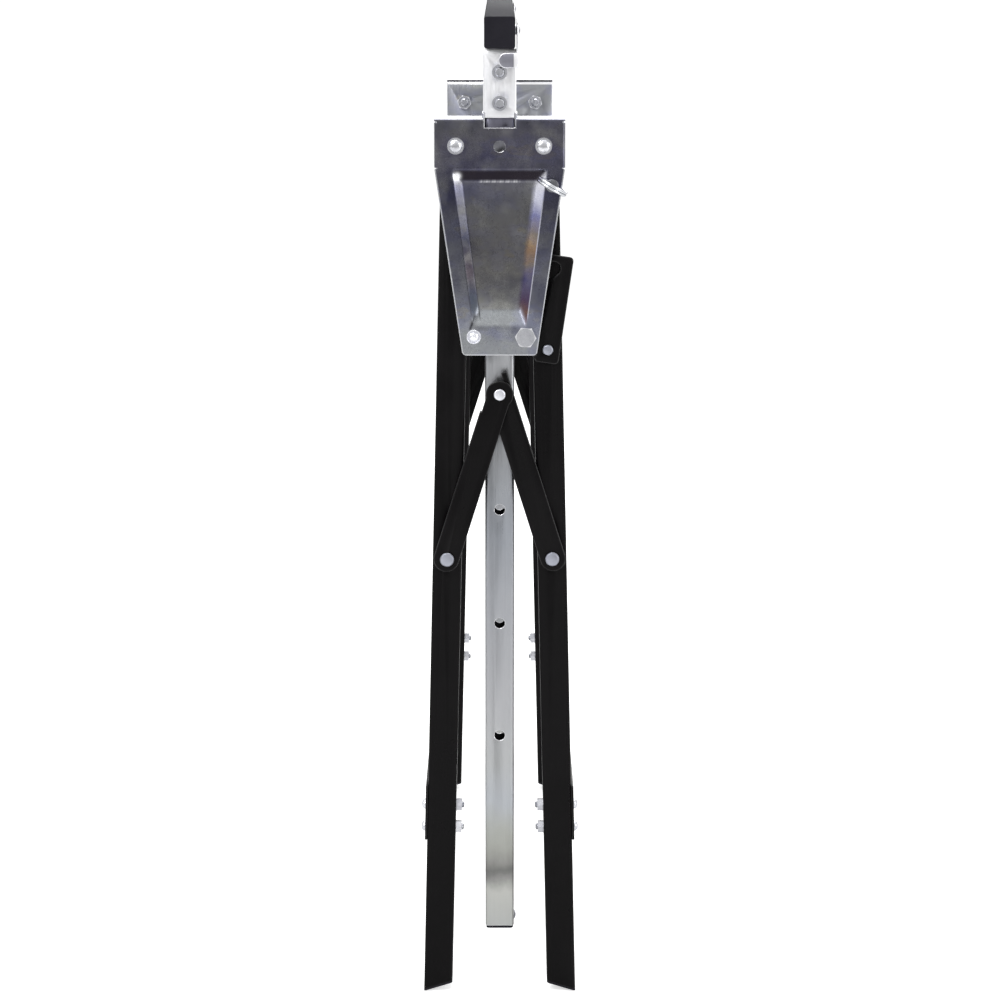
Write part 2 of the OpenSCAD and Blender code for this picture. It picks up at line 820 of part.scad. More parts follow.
module leg_strut_bores_out() {
    for (i = [0, 1])
        translate([strut_out - cut, end_y + tube_front + leg_side / 2, strut_bolt_at(i)])
            rotate([0, 90, 0])
                cylinder(h = strut_sheet + 2 * cut, r = strut_bolt_d / 2 + run_fit);
}

module strut_bolts() {
    place_right(rest_lean) both_ends() for (i = [0, 1])
        translate([0, end_y + tube_front + leg_side / 2, strut_bolt_at(i)]) rotate([0, 90, 0]) {
            translate([0, 0, strut_out + strut_sheet]) dome(strut_head[0], strut_head[1]);
            translate([0, 0, -leg_side / 2 - strut_nut[1] - strut_bolt_d / 3])
                cylinder(h = leg_side + strut_sheet + strut_nut[1] + strut_bolt_d / 3,
                    r = strut_bolt_d / 2);
        }
}

module strut_nuts() {
    place_right(rest_lean) both_ends() for (i = [0, 1])
        translate([-leg_side / 2 - strut_nut[1], end_y + tube_front + leg_side / 2,
            strut_bolt_at(i)])
            rotate([0, 90, 0]) difference() {
                cylinder(h = strut_nut[1], r = strut_nut[0] / sqrt(3), $fn = 6);
                translate([0, 0, -cut])
                    cylinder(h = strut_nut[1] + 2 * cut, r = strut_bolt_d / 2 + run_fit);
            }
}

module right_strut() { color("dimgray") strut(); }
module left_strut() { color("dimgray") mirror([1, 0, 0]) strut(); }
module right_strut_bolts() { color("silver") strut_bolts(); }
module left_strut_bolts() { color("silver") mirror([1, 0, 0]) strut_bolts(); }
module right_strut_nuts() { color("silver") strut_nuts(); }
module left_strut_nuts() { color("silver") mirror([1, 0, 0]) strut_nuts(); }

// Braces

// A brace's own frame: the centre rivet at its origin, u down the brace, s to its outer side.
// Drawn for the right brace; the left one is turned over.
module place_brace(side) {
    mirror([side < 0 ? 1 : 0, 0, 0])
        translate([0, 0, centre_z])
            rotate([0, 90 - brace_lean, 0])
                children();
}

// A sheet in a brace's frame: X is u, Z is s
module brace_plate(from_d, to_d) {
    translate([0, end_y + to_d, 0]) rotate([90, 0, 0])
        linear_extrude(height = to_d - from_d) children();
}

module brace_bores(from_d, to_d) {
    for (u = [0, brace_length])
        translate([u, end_y + to_d, 0]) rotate([90, 0, 0])
            cylinder(h = to_d - from_d, r = rivet_d / 2 + run_fit);
}

// Left brace: flat round eye in front, then a stepped body with its edge folded back
module left_brace() {
    half = brace_w / 2;
    place_brace(-1) difference() {
        union() {
            brace_plate(brace_front, left_brace_back) {
                circle(r = brace_eye);
                translate([0, -half + brace_sheet / 2]) square([shoulder_u, brace_w - brace_sheet]);
                translate([shoulder_u, -half + brace_sheet / 2])
                    square([brace_length - shoulder_u, brace_w - brace_sheet / 2]);
                translate([brace_length, brace_sheet / 4]) circle(r = half - brace_sheet / 4);
            }
            brace_plate(brace_front, brace_flange_back)
                translate([shoulder_u, half - brace_sheet])
                square([brace_length - shoulder_u - rivet_head_d / 2, brace_sheet]);
        }
        brace_bores(brace_front - cut, left_brace_back + cut);
    }
}

// Right brace: its folded edge runs on past the eye and meets the left brace's shoulder
module right_brace() {
    half = brace_w / 2;
    place_brace(1) difference() {
        union() {
            brace_plate(right_brace_front, right_brace_back) {
                circle(r = half);
                translate([-thorn_u, half - 2 * brace_sheet])
                    square([thorn_u, 2 * brace_sheet]);
                translate([0, -half + brace_sheet / 2])
                    square([brace_length, brace_w - brace_sheet / 2]);
                translate([brace_length, brace_sheet / 4]) circle(r = half - brace_sheet / 4);
            }
            brace_plate(right_brace_front, brace_flange_back)
                translate([-thorn_u, half - brace_sheet])
                square([thorn_u + brace_length - rivet_head_d / 2, brace_sheet]);
        }
        brace_bores(right_brace_front - cut, right_brace_back + cut);
    }
}

module front_left_brace() { color("dimgray") left_brace(); }
module rear_left_brace() { color("dimgray") mirror([0, 1, 0]) left_brace(); }
module front_right_brace() { color("gray") right_brace(); }
module rear_right_brace() { color("gray") mirror([0, 1, 0]) right_brace(); }

module centre_rivet() {
    flat_head_out(0, centre_z, brace_front, centre_head_d, rivet_head_h);
    rod(0, centre_z, brace_front, right_brace_back + rivet_head_h, rivet_d / 2);
    rod(0, centre_z, right_brace_back, right_brace_back + rivet_head_h, centre_head_d / 2);
}

module front_centre_rivet() { color("silver") centre_rivet(); }
module rear_centre_rivet() { color("silver") mirror([0, 1, 0]) centre_rivet(); }

// Shouldered rivets that carry the left braces on the legs
module left_brace_rivets() {
    color("silver") both_ends() {
        flat_head_out(-leg_brace_x, leg_brace_z, brace_front, rivet_head_d, rivet_head_h);
        rod(-leg_brace_x, leg_brace_z, brace_front, tube_front + leg_wall + rivet_head_h,
            rivet_d / 2);
        rod(-leg_brace_x, leg_brace_z, left_brace_back, tube_front, rivet_head_d / 2);
        rod(-leg_brace_x, leg_brace_z, tube_front + leg_wall,
            tube_front + leg_wall + rivet_head_h, rivet_head_d / 2);
    }
}

module right_brace_rivet() {
    flat_head_out(leg_brace_x, leg_brace_z, right_brace_front, rivet_head_d, rivet_head_h);
    rod(leg_brace_x, leg_brace_z, right_brace_front, brace_flange_back, rivet_d / 2);
    rod(leg_brace_x, leg_brace_z, right_brace_back, brace_flange_back, rivet_head_d / 2);
}

module front_right_brace_rivet() { color("silver") right_brace_rivet(); }
module rear_right_brace_rivet() { color("silver") mirror([0, 1, 0]) right_brace_rivet(); }

module right_brace_tails() {
    color("silver") both_ends() {
        rod(leg_brace_x, leg_brace_z, tube_front, tube_front + leg_wall + rivet_head_h,
            rivet_d / 2);
        rod(leg_brace_x, leg_brace_z, tube_front + leg_wall,
            tube_front + leg_wall + rivet_head_h, rivet_head_d / 2);
    }
}

// Hook levers

// Lever in its own frame: the rivet at the origin, Z along it to the tip, -X to the notch
module lever_outline() {
    half = lever_w / 2;
    r = hook_bolt_d / 2 + notch_gap;
    lead = half - notch_side + cut;
    flare_start = [-notch_side + r * cos(notch_slant) - lever_w / 20, notch_along - r * sin(notch_slant)];
    difference() {
        polygon(rounded([
            [-half, -lever_tail], [half, -lever_tail], [half, lever_tip], [-half, lever_tip]
        ], [lever_corner, lever_corner, lever_corner, lever_corner]));
        translate([-notch_side, notch_along]) circle(r = r);
        translate([-half - cut, notch_along - r]) square([lead, 2 * r]);
        polygon([
            [-notch_side + r * cos(notch_slant), notch_along - r * sin(notch_slant)],
            [-notch_side, notch_along + r],
            [-half - cut, notch_along + r],
            [-half - cut, notch_along - r - (lead + r * cos(notch_slant)) * tan(notch_slant)
                + r * (1 - sin(notch_slant))]
        ]);
    }
}

module hook_lever() {
    translate([lever_x, end_y + lever_back, lever_z])
        rotate([0, lever_tilt, 0])
            difference() {
                rotate([90, 0, 0]) linear_extrude(height = lever_sheet) lever_outline();
                translate([0, cut, 0]) rotate([90, 0, 0])
                    cylinder(h = lever_sheet + 2 * cut, r = rivet_d / 2 + run_fit);
            }
}

module front_hook_lever() { color("dimgray") hook_lever(); }
module rear_hook_lever() { color("dimgray") mirror([0, 1, 0]) hook_lever(); }

module lever_rivets() {
    color("silver") both_ends() {
        flat_head_out(lever_x, lever_z, lever_front, lever_rivet_head, rivet_head_h);
        rod(lever_x, lever_z, lever_front, tube_front + leg_wall + rivet_head_h, rivet_d / 2);
        rod(lever_x, lever_z, tube_front + leg_wall, tube_front + leg_wall + rivet_head_h,
            lever_rivet_head / 2);
    }
}

// Posts, saddles and top bar

module post() {
    difference() {
        translate([0, end_y + post_front + post_side / 2, post_foot_z])
            tube(post_side, post_wall, post_corner, post_top - post_foot_z);
        for (i = [0:hole_count - 1])
            rod(0, first_hole_z + i * hole_pitch, post_front - cut, post_back + cut,
                post_hole_d / 2);
        for (drop = saddle_bolt_drops)
            rod(0, bar_bottom - drop, post_front - cut, post_back + cut,
                saddle_bolt_d / 2 + run_fit);
        translate([0, end_y + post_front + post_side / 2, stop_screw_z]) rotate([0, 90, 0])
            cylinder(h = post_side, r = stop_shank_d / 2 + run_fit);
    }
}

module front_post() { color("gainsboro") post(); }
module rear_post() { color("gainsboro") mirror([0, 1, 0]) post(); }

module post_plugs() {
    inner = post_side - 2 * post_wall - 2 * run_fit;
    flange = post_side - post_wall;
    color("black") both_ends()
        translate([0, end_y + post_front + post_side / 2, post_foot_z - plug_flange]) {
            linear_extrude(height = plug_flange) polygon(box_outline(flange, flange, post_corner));
            linear_extrude(height = plug_flange + foot_insert / 8)
                polygon(box_outline(inner, inner, post_wall));
        }
}

module stop_screws() {
    color("silver") both_ends()
        translate([0, end_y + post_front + post_side / 2, stop_screw_z]) rotate([0, 90, 0]) {
            translate([0, 0, post_side / 2]) intersection() {
                dome(stop_screw_d, stop_screw_h);
                cylinder(h = stop_screw_h, r = stop_screw_d);
            }
            translate([0, 0, post_side / 2 - 4 * post_wall])
                cylinder(h = 4 * post_wall, r = stop_shank_d / 2);
        }
}

// Saddle: an inverted U over the post, under the bar
module saddle() {
    out_front = saddle_depth;
    out_back = post_back + saddle_wall;
    difference() {
        intersection() {
            // the bent strip, seen from the side
            translate([-saddle_half, end_y, 0]) rotate([90, 0, 90])
                linear_extrude(height = 2 * saddle_half) difference() {
                    polygon(rounded([
                        [out_front, tongue_foot - cut], [out_back, tongue_foot - cut],
                        [out_back, bar_bottom], [out_front, bar_bottom]
                    ], [0, 0, saddle_bend, saddle_bend]));
                    polygon(rounded([
                        [post_front, tongue_foot - 2 * cut], [post_back, tongue_foot - 2 * cut],
                        [post_back, bar_bottom - saddle_wall],
                        [post_front, bar_bottom - saddle_wall]
                    ], [0, 0, saddle_bend - saddle_wall, saddle_bend - saddle_wall]));
                }
            // its outline from the front, with the tongue between the guide's ears
            sheet(0, inner_back + plate_space) union() {
                translate([-saddle_half, saddle_foot])
                    square([2 * saddle_half, bar_bottom - saddle_foot]);
                translate([-tongue_half, tongue_foot])
                    square([2 * tongue_half, bar_bottom - tongue_foot]);
            }
        }
        for (drop = saddle_bolt_drops)
            rod(0, bar_bottom - drop, 0, post_back + saddle_wall + cut,
                saddle_bolt_d / 2 + run_fit);
    }
}

module saddles() { color("whitesmoke") both_ends() saddle(); }

module saddle_bolts() {
    color("silver") both_ends() for (drop = saddle_bolt_drops) {
        rod(0, bar_bottom - drop, saddle_depth - saddle_nut_h - 2 * saddle_wall,
            post_back + saddle_wall, saddle_bolt_d / 2);
        hex_rod(0, bar_bottom - drop, post_back + saddle_wall,
            post_back + saddle_wall + saddle_bolt_d * 2 / 3, saddle_nut_flats);
    }
}

module saddle_nuts() {
    color("silver") both_ends() for (drop = saddle_bolt_drops)
        nut(0, bar_bottom - drop, saddle_depth - saddle_nut_h, saddle_depth, saddle_nut_flats,
            saddle_bolt_d);
}

module along_bar(run) {
    translate([0, run / 2, 0]) rotate([90, 0, 0]) linear_extrude(height = run) children();
}

module top_bar() {
    inner = bar_side - 2 * bar_wall;
    color("dimgray") difference() {
        along_bar(trestle_length) translate([0, bar_bottom + bar_side / 2]) difference() {
            polygon(box_outline(bar_side, bar_side, bar_corner));
            polygon(box_outline(inner, inner, bar_corner - bar_wall / 2));
        }
        both_ends() translate([0, end_y + stop_pivot_depth, bar_top - stop_pivot_drop])
            rotate([0, 90, 0]) cylinder(h = bar_side, r = rivet_d / 2 + run_fit);
    }
}

module bar_pad() {
    half = bar_side / 2;
    color("dimgray") along_bar(trestle_length) difference() {
        polygon(rounded([
            [-half - pad_side, bar_top - pad_lip], [half + pad_side, bar_top - pad_lip],
            [half + pad_side, pad_top], [-half - pad_side, pad_top]
        ], [0, 0, pad_thick, pad_thick]));
        translate([0, bar_bottom + bar_side / 2])
            polygon(box_outline(bar_side, bar_side, bar_corner));
    }
}

module bar_end_caps() {
    inner = bar_side - 2 * bar_wall - 2 * run_fit;
    depth = stop_pivot_depth - rivet_head_d / 2 - run_fit;
    color("black") both_ends()
        sheet(cap_flange / 2, depth) translate([0, bar_bottom + bar_side / 2]) difference() {
            polygon(box_outline(inner, inner, bar_corner - bar_wall / 2));
        }
}

module end_stop_rivets() {
    color("silver") both_ends() translate([0, end_y + stop_y, stop_z]) rotate([0, 90, 0]) {
        arm_out = stop_rivet_x + stop_washer + stop_sheet;
        translate([0, 0, arm_out]) dome(rivet_head_d * 3 / 4, stop_sheet);
        translate([0, 0, stop_rivet_x - bar_wall - stop_sheet])
            cylinder(h = bar_wall + 2 * stop_sheet + stop_washer, r = rivet_d / 2);
        translate([0, 0, stop_rivet_x]) cylinder(h = stop_washer, r = stop_washer_d / 2);
        translate([0, 0, stop_rivet_x - bar_wall - stop_sheet])
            cylinder(h = stop_sheet, r = rivet_head_d / 2);
    }
}

// End stop: an arm on the bar's side with a half-round tab bent across the bar's end
module end_stop() {
    arm_x = stop_rivet_x + stop_washer;
    half = stop_arm / 2;
    foot = stop_z - stop_reach;
    tab_front = -tab_gap - stop_sheet;
    arm_back = stop_y + half;
    difference() {
        union() {
            translate([arm_x, end_y, 0]) rotate([90, 0, 90])
                linear_extrude(height = stop_sheet) difference() {
                    union() {
                        translate([stop_y, stop_z]) circle(r = half);
                        translate([stop_y - half, foot]) square([stop_arm, stop_reach]);
                        translate([tab_front, foot]) square([arm_back - tab_front, tab_h]);
                    }
                    translate([arm_back, foot]) rotate(45)
                        square([half * 1.1, half * 1.1], center = true);
                }
            sheet(tab_front, tab_front + stop_sheet) {
                translate([arm_x + stop_sheet - tab_w + tab_h / 2, foot])
                    square([tab_w - tab_h / 2, tab_h]);
                translate([arm_x + stop_sheet - tab_w + tab_h / 2, foot + tab_h / 2])
                    circle(d = tab_h);
            }
        }
        translate([arm_x - cut, end_y + stop_y, stop_z]) rotate([0, 90, 0])
            cylinder(h = stop_sheet + 2 * cut, r = rivet_d / 2 + run_fit);
    }
}

module front_end_stop() { color("darkslategray") end_stop(); }
module rear_end_stop() { color("darkslategray") mirror([0, 1, 0]) end_stop(); }

// Locking pins

module lock_pin() {
    difference() {
        union() {
            rod(pin_x, pin_z, -pin_head_h, 0, pin_head_d / 2);
            rod(pin_x, pin_z, -pin_head_h / 2, pin_shank_back, pin_d / 2);
            rod(pin_x, pin_z, pin_shank_back, pin_shank_back + part_gap + pin_nose * 0.6,
                pin_nose_d / 2);
            translate([pin_x, end_y + pin_shank_back + part_gap + pin_nose * 0.6, pin_z])
                rotate([-90, 0, 0]) dome(pin_nose_d, pin_nose * 0.4);
        }
        // cross hole for the ring, a little outward of the wire because the ring bends that way
        translate([pin_x, end_y + ring_centre_d - ring_wire / 4, pin_z])
            rotate([0, ring_tilt + 90, 0])
                cylinder(h = 2 * pin_head_d, r = ring_hole_r, center = true);
    }
}

module front_lock_pin() { color("silver") lock_pin(); }
module rear_lock_pin() { color("silver") mirror([0, 1, 0]) lock_pin(); }

// Split ring: two turns of wire side by side, through the pin's cross hole
module pin_ring() {
    mid = ring_d / 2 - ring_wire / 2;
    translate([pin_x, end_y + ring_centre_d - mid, pin_z]) rotate([0, ring_tilt, 0])
        for (side = [-1, 1])
            translate([0, 0, side * (ring_wire / 2 - run_fit)])
                rotate_extrude() translate([mid, 0]) circle(d = ring_wire);
}

module front_pin_ring() { color("gainsboro") pin_ring(); }
module rear_pin_ring() { color("gainsboro") mirror([0, 1, 0]) pin_ring(); }

front_outer_plate();
rear_outer_plate();
front_inner_plate();
rear_inner_plate();
front_post_guide();
rear_post_guide();
head_rail();
head_rail_bolts();
hinge_bolts();
hinge_nuts();
hinge_bushes();
guide_rivets();
guide_bushes();
hook_bolts();
hook_bolt_nuts();
pin_bushes();
front_left_leg();
rear_left_leg();
left_foot_plugs();
left_strut();
left_strut_bolts();
left_strut_nuts();
left_brace_rivets();
front_right_leg();
rear_right_leg();
right_foot_plugs();
right_strut();
right_strut_bolts();
right_strut_nuts();
lever_rivets();
right_brace_tails();
front_left_brace();
rear_left_brace();
front_centre_rivet();
rear_centre_rivet();
front_right_brace();
rear_right_brace();
front_right_brace_rivet();
rear_right_brace_rivet();
front_hook_lever();
rear_hook_lever();
front_post();
rear_post();
post_plugs();
stop_screws();
saddles();
saddle_bolts();
saddle_nuts();
top_bar();
bar_pad();
bar_end_caps();
end_stop_rivets();
front_end_stop();
rear_end_stop();
front_lock_pin();
rear_lock_pin();
front_pin_ring();
rear_pin_ring();
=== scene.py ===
"""Dresses the folding trestle: rounded sheet edges, pressed brackets, zinc, black coat and rubber."""

from __future__ import annotations

import json
import logging
import math
from dataclasses import dataclass, field
from enum import Enum
from typing import Sequence

import bmesh
import bpy
import numpy as np
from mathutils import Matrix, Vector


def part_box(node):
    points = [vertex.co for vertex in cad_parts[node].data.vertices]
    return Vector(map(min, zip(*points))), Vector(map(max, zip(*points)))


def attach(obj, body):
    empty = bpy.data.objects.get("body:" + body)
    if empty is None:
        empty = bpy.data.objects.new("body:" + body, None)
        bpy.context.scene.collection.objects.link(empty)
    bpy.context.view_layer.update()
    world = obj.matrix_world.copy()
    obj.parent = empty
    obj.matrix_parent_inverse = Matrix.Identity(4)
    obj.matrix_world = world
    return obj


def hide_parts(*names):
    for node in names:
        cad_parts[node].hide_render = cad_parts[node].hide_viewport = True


LOG = logging.getLogger("trestle")
MM = 0.001
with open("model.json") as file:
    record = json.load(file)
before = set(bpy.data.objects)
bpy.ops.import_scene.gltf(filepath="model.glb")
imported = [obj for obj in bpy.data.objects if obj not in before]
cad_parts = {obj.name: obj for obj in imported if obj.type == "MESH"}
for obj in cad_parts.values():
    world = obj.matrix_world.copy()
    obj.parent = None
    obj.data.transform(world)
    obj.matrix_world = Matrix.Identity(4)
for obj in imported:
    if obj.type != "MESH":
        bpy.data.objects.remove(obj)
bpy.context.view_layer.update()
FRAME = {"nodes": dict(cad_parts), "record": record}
# From the middle of the trestle to the outer face of an end bracket.
HALF_LENGTH = 350.0 * MM

# A socket of a shader node, a tone or a set of three numbers, and a linear colour.
Wire = bpy.types.NodeSocket
Tone = tuple[float, float, float]
Colour = tuple[float, float, float, float]
Stop = tuple[float, Tone]


class End(Enum):
    """An end of the trestle; the value is the sign of its outward direction along Y."""

    FRONT = -1.0
    REAR = 1.0

    @property
    def word(self) -> str:
        """The end's name as the nodes use it."""
        return self.name.lower()


class Kind(Enum):
    """What a socket of a shader group carries."""

    COLOUR = "NodeSocketColor"
    NUMBER = "NodeSocketFloat"
    VECTOR = "NodeSocketVector"


def srgb(red: float, green: float, blue: float) -> Colour:
    """Turns display values from 0 to 255 into a linear colour.

    Args:
        red: Red as displayed.
        green: Green as displayed.
        blue: Blue as displayed.

    Returns:
        The linear colour with an alpha of 1.
    """
    value = np.array([red, green, blue], float) / 255.0
    linear = np.where(value <= 0.04045, value / 12.92, ((value + 0.055) / 1.055) ** 2.4)
    return (*linear.tolist(), 1.0)


@dataclass(frozen=True)
class Socket:
    """A named input or output of a shader node group."""

    name: str
    kind: Kind
    value: object = None


@dataclass(frozen=True)
class Cloud:
    """A noise pattern: its scale, the same every way or one for each axis, its detail and roughness."""

    scale: float | Tone
    detail: float
    rough: float


NOISE_SPAN = (0.3, 0.7)
STEEL_CLOUD = Cloud(28.0, 4.0, 0.62)
STEEL_SPECKS = Cloud(420.0, 3.0, 0.6)
STEEL_LINES = Cloud(1.0, 3.0, 0.6)
COAT_PEEL = Cloud(650.0, 2.0, 0.5)
COAT_DUST = Cloud(14.0, 5.0, 0.65)
COAT_SCRATCHES = Cloud((160.0, 160.0, 900.0), 2.0, 0.5)
BLOOM_CLOUD = Cloud(40.0, 4.0, 0.6)
WANDER_CLOUD = Cloud((60.0, 60.0, 40.0), 3.0, 0.55)
TINT_CLOUD = Cloud((30.0, 30.0, 55.0), 3.0, 0.55)
WIDE_MOTTLE = Cloud((30.0, 30.0, 34.0), 2.0, 0.5)
SMALL_MOTTLE = Cloud((52.0, 52.0, 44.0), 2.0, 0.5)


class Nodes:
    """Short ways to add and join nodes in one tree."""

    def __init__(self, tree: bpy.types.NodeTree) -> None:
        """Keeps the tree and finds its input and output nodes.

        Args:
            tree: The node tree to work in.
        """
        self.tree = tree
        self.source = next((n for n in tree.nodes if n.type == "GROUP_INPUT"), None)
        self.sink = next((n for n in tree.nodes if n.type == "GROUP_OUTPUT"), None)

    def add(self, kind: str, **settings: object) -> bpy.types.Node:
        """Adds a node and sets its properties.

        Args:
            kind: The node's type name.
            **settings: Properties of the node.

        Returns:
            The new node.
        """
        node = self.tree.nodes.new(kind)
        for key, value in settings.items():
            setattr(node, key, value)
        return node

    def join(self, value: object, target: Wire) -> None:
        """Links an output to an input, or sets a plain value on it.

        Args:
            value: The output, or a number, vector or colour.
            target: The input.
        """
        if isinstance(value, bpy.types.NodeSocket):
            self.tree.links.new(value, target)
        else:
            target.default_value = value

    def give(self, **results: Wire) -> None:
        """Feeds the outputs of the group, named as they are."""
        for name, value in results.items():
            self.join(value, self.sink.inputs[name])

    def math(self, operation: str, first: object, second: object = 0.0, clamp: bool = False) -> Wire:
        """Adds a Math node whose inputs are sockets or numbers.

        Args:
            operation: The Math node's operation.
            first: First socket or number.
            second: Second socket or number.
            clamp: Whether the result is held between 0 and 1.

        Returns:
            The result's socket.
        """
        node = self.add("ShaderNodeMath", operation=operation, use_clamp=clamp)
        self.join(first, node.inputs[0])
        self.join(second, node.inputs[1])
        return node.outputs[0]

    def blend(self, factor: object, first: object, second: object, mode: str = "MIX") -> Wire:
        """Adds a colour Mix node whose inputs are sockets or colours.

        Args:
            factor: Share of the second colour.
            first: First colour or socket.
            second: Second colour or socket.
            mode: Blend mode.

        Returns:
            The mixed colour's socket.
        """
        node = self.add("ShaderNodeMix", data_type="RGBA", blend_type=mode)
        for slot, value in ((0, factor), (6, first), (7, second)):
            self.join(value, node.inputs[slot])
        return node.outputs[2]

    def noise(self, vector: Wire, cloud: Cloud) -> Wire:
        """Adds a Noise texture, with a Mapping node before it where its scale differs by axis.

        Args:
            vector: Where the noise is read.
            cloud: The pattern.

        Returns:
            The noise's value.
        """
        node = self.add("ShaderNodeTexNoise")
        scale = cloud.scale
        if isinstance(scale, tuple):
            mapping = self.add("ShaderNodeMapping")
            self.join(vector, mapping.inputs["Vector"])
            self.join(scale, mapping.inputs["Scale"])
            vector, scale = mapping.outputs[0], 1.0
        values = {"Vector": vector, "Scale": scale, "Detail": cloud.detail, "Roughness": cloud.rough}
        for name, value in values.items():
            self.join(value, node.inputs[name])
        return node.outputs[0]

    def span(self, value: Wire, low: float, high: float, to_low: float = 0.0, to_high: float = 1.0) -> Wire:
        """Adds a Map Range node from one span of values to another.

        Args:
            value: The value to carry over.
            low: Start of its span.
            high: End of its span.
            to_low: What the start becomes.
            to_high: What the end becomes.

        Returns:
            The new value.
        """
        node = self.add("ShaderNodeMapRange")
        for slot, number in enumerate((value, low, high, to_low, to_high)):
            self.join(number, node.inputs[slot])
        return node.outputs[0]

    def split(self, vector: Wire) -> tuple[Wire, Wire, Wire]:
        """Adds a Separate XYZ node and returns the three parts."""
        node = self.add("ShaderNodeSeparateXYZ")
        self.join(vector, node.inputs[0])
        return tuple(node.outputs)

    def ramp(self, place: Wire, stops: Sequence[tuple[float, Colour]]) -> Wire:
        """Adds a colour ramp.

        Args:
            place: Where along the ramp the colour is read, from 0 to 1.
            stops: Places on the ramp with their linear colours.

        Returns:
            The colour there.
        """
        node = self.add("ShaderNodeValToRGB")
        elements = node.color_ramp.elements
        while len(elements) < len(stops):
            elements.new(0.5)
        for element, (position, colour) in zip(elements, stops):
            element.position = position
            element.color = colour
        self.join(place, node.inputs[0])
        return node.outputs[0]

    def bump(self, strength: Wire, height: Wire, distance: float) -> Wire:
        """Adds a Bump node.

        Args:
            strength: How much of the relief shows.
            height: The relief.
            distance: The relief's depth in metres.

        Returns:
            The normal.
        """
        node = self.add("ShaderNodeBump")
        for name, value in (("Distance", distance), ("Strength", strength), ("Height", height)):
            self.join(value, node.inputs[name])
        return node.outputs[0]


def new_group(name: str, inputs: Sequence[Socket], outputs: Sequence[Socket]) -> Nodes:
    """Makes an empty shader node group that takes a vector and the given inputs.

    Args:
        name: The group's name.
        inputs: Its other inputs with their default values.
        outputs: Its outputs.

    Returns:
        The helper for the group's nodes.
    """
    tree = bpy.data.node_groups.new(name, "ShaderNodeTree")
    for direction, sockets in (("INPUT", (Socket("Vector", Kind.VECTOR), *inputs)), ("OUTPUT", outputs)):
        for item in sockets:
            made = tree.interface.new_socket(item.name, in_out=direction, socket_type=item.kind.value)
            if item.value is not None:
                made.default_value = item.value
    tree.nodes.new("NodeGroupInput")
    tree.nodes.new("NodeGroupOutput")
    return Nodes(tree)


SURFACE = (Socket("Colour", Kind.COLOUR), Socket("Roughness", Kind.NUMBER), Socket("Normal", Kind.VECTOR))


def rolled_steel_group() -> bpy.types.NodeTree:
    """Grain of rolled and plated steel: cloudy tone, specks, and fine lines along one way.

    Returns:
        A group with Colour, Roughness and Normal outputs.
    """
    inputs = (
        Socket("Colour", Kind.COLOUR, (0.5, 0.5, 0.5, 1)),
        Socket("Shade", Kind.COLOUR, (0.3, 0.3, 0.3, 1)),
        Socket("Roughness", Kind.NUMBER, 0.3),
        Socket("Cloud", Kind.NUMBER, 0.4),
        Socket("Lines", Kind.VECTOR, (900.0, 900.0, 12.0)),
        Socket("Relief", Kind.NUMBER, 0.1),
    )
    kit = new_group("rolled steel", inputs, SURFACE)
    take = kit.source.outputs
    cloud = kit.noise(take["Vector"], STEEL_CLOUD)
    specks = kit.noise(take["Vector"], STEEL_SPECKS)
    ways = kit.add("ShaderNodeVectorMath", operation="MULTIPLY")
    kit.join(take["Vector"], ways.inputs[0])
    kit.join(take["Lines"], ways.inputs[1])
    lines = kit.noise(ways.outputs[0], STEEL_LINES)
    patch = kit.math("MULTIPLY", kit.span(cloud, 0.38, 0.64), take["Cloud"])
    tone = kit.blend(patch, take["Colour"], take["Shade"])
    tone = kit.blend(kit.span(specks, *NOISE_SPAN, 0.0, 0.16), tone, take["Shade"])
    rough = kit.math("ADD", take["Roughness"], kit.span(cloud, *NOISE_SPAN, -0.06, 0.1))
    rough = kit.math("ADD", rough, kit.span(lines, *NOISE_SPAN, -0.05, 0.07), clamp=True)
    relief = kit.math("ADD", lines, kit.math("MULTIPLY", specks, 0.6))
    kit.give(Colour=tone, Roughness=rough, Normal=kit.bump(take["Relief"], relief, 0.25 * MM))
    return kit.tree


def powder_coat_group() -> bpy.types.NodeTree:
    """Black powder coat: fine orange peel with dust-grey scuffs.

    Returns:
        A group with Colour, Roughness and Normal outputs.
    """
    inputs = (
        Socket("Colour", Kind.COLOUR, (0.02, 0.02, 0.02, 1)),
        Socket("Scuff", Kind.COLOUR, (0.08, 0.08, 0.08, 1)),
        Socket("Roughness", Kind.NUMBER, 0.4),
        Socket("Peel", Kind.NUMBER, 0.2),
    )
    kit = new_group("powder coat", inputs, SURFACE)
    take = kit.source.outputs
    peel = kit.noise(take["Vector"], COAT_PEEL)
    cloud = kit.noise(take["Vector"], COAT_DUST)
    scratch = kit.span(kit.noise(take["Vector"], COAT_SCRATCHES), 0.66, 0.74)
    marks = kit.math("MULTIPLY", scratch, kit.span(cloud, 0.5, 0.62), clamp=True)
    worn = kit.math("MAXIMUM", kit.span(cloud, 0.45, 0.75, 0.0, 0.22), kit.math("MULTIPLY", marks, 0.5))
    tone = kit.blend(worn, take["Colour"], take["Scuff"])
    rough = kit.math("ADD", take["Roughness"], kit.span(cloud, *NOISE_SPAN, -0.07, 0.12), clamp=True)
    kit.give(Colour=tone, Roughness=rough, Normal=kit.bump(take["Peel"], peel, 0.2 * MM))
    return kit.tree


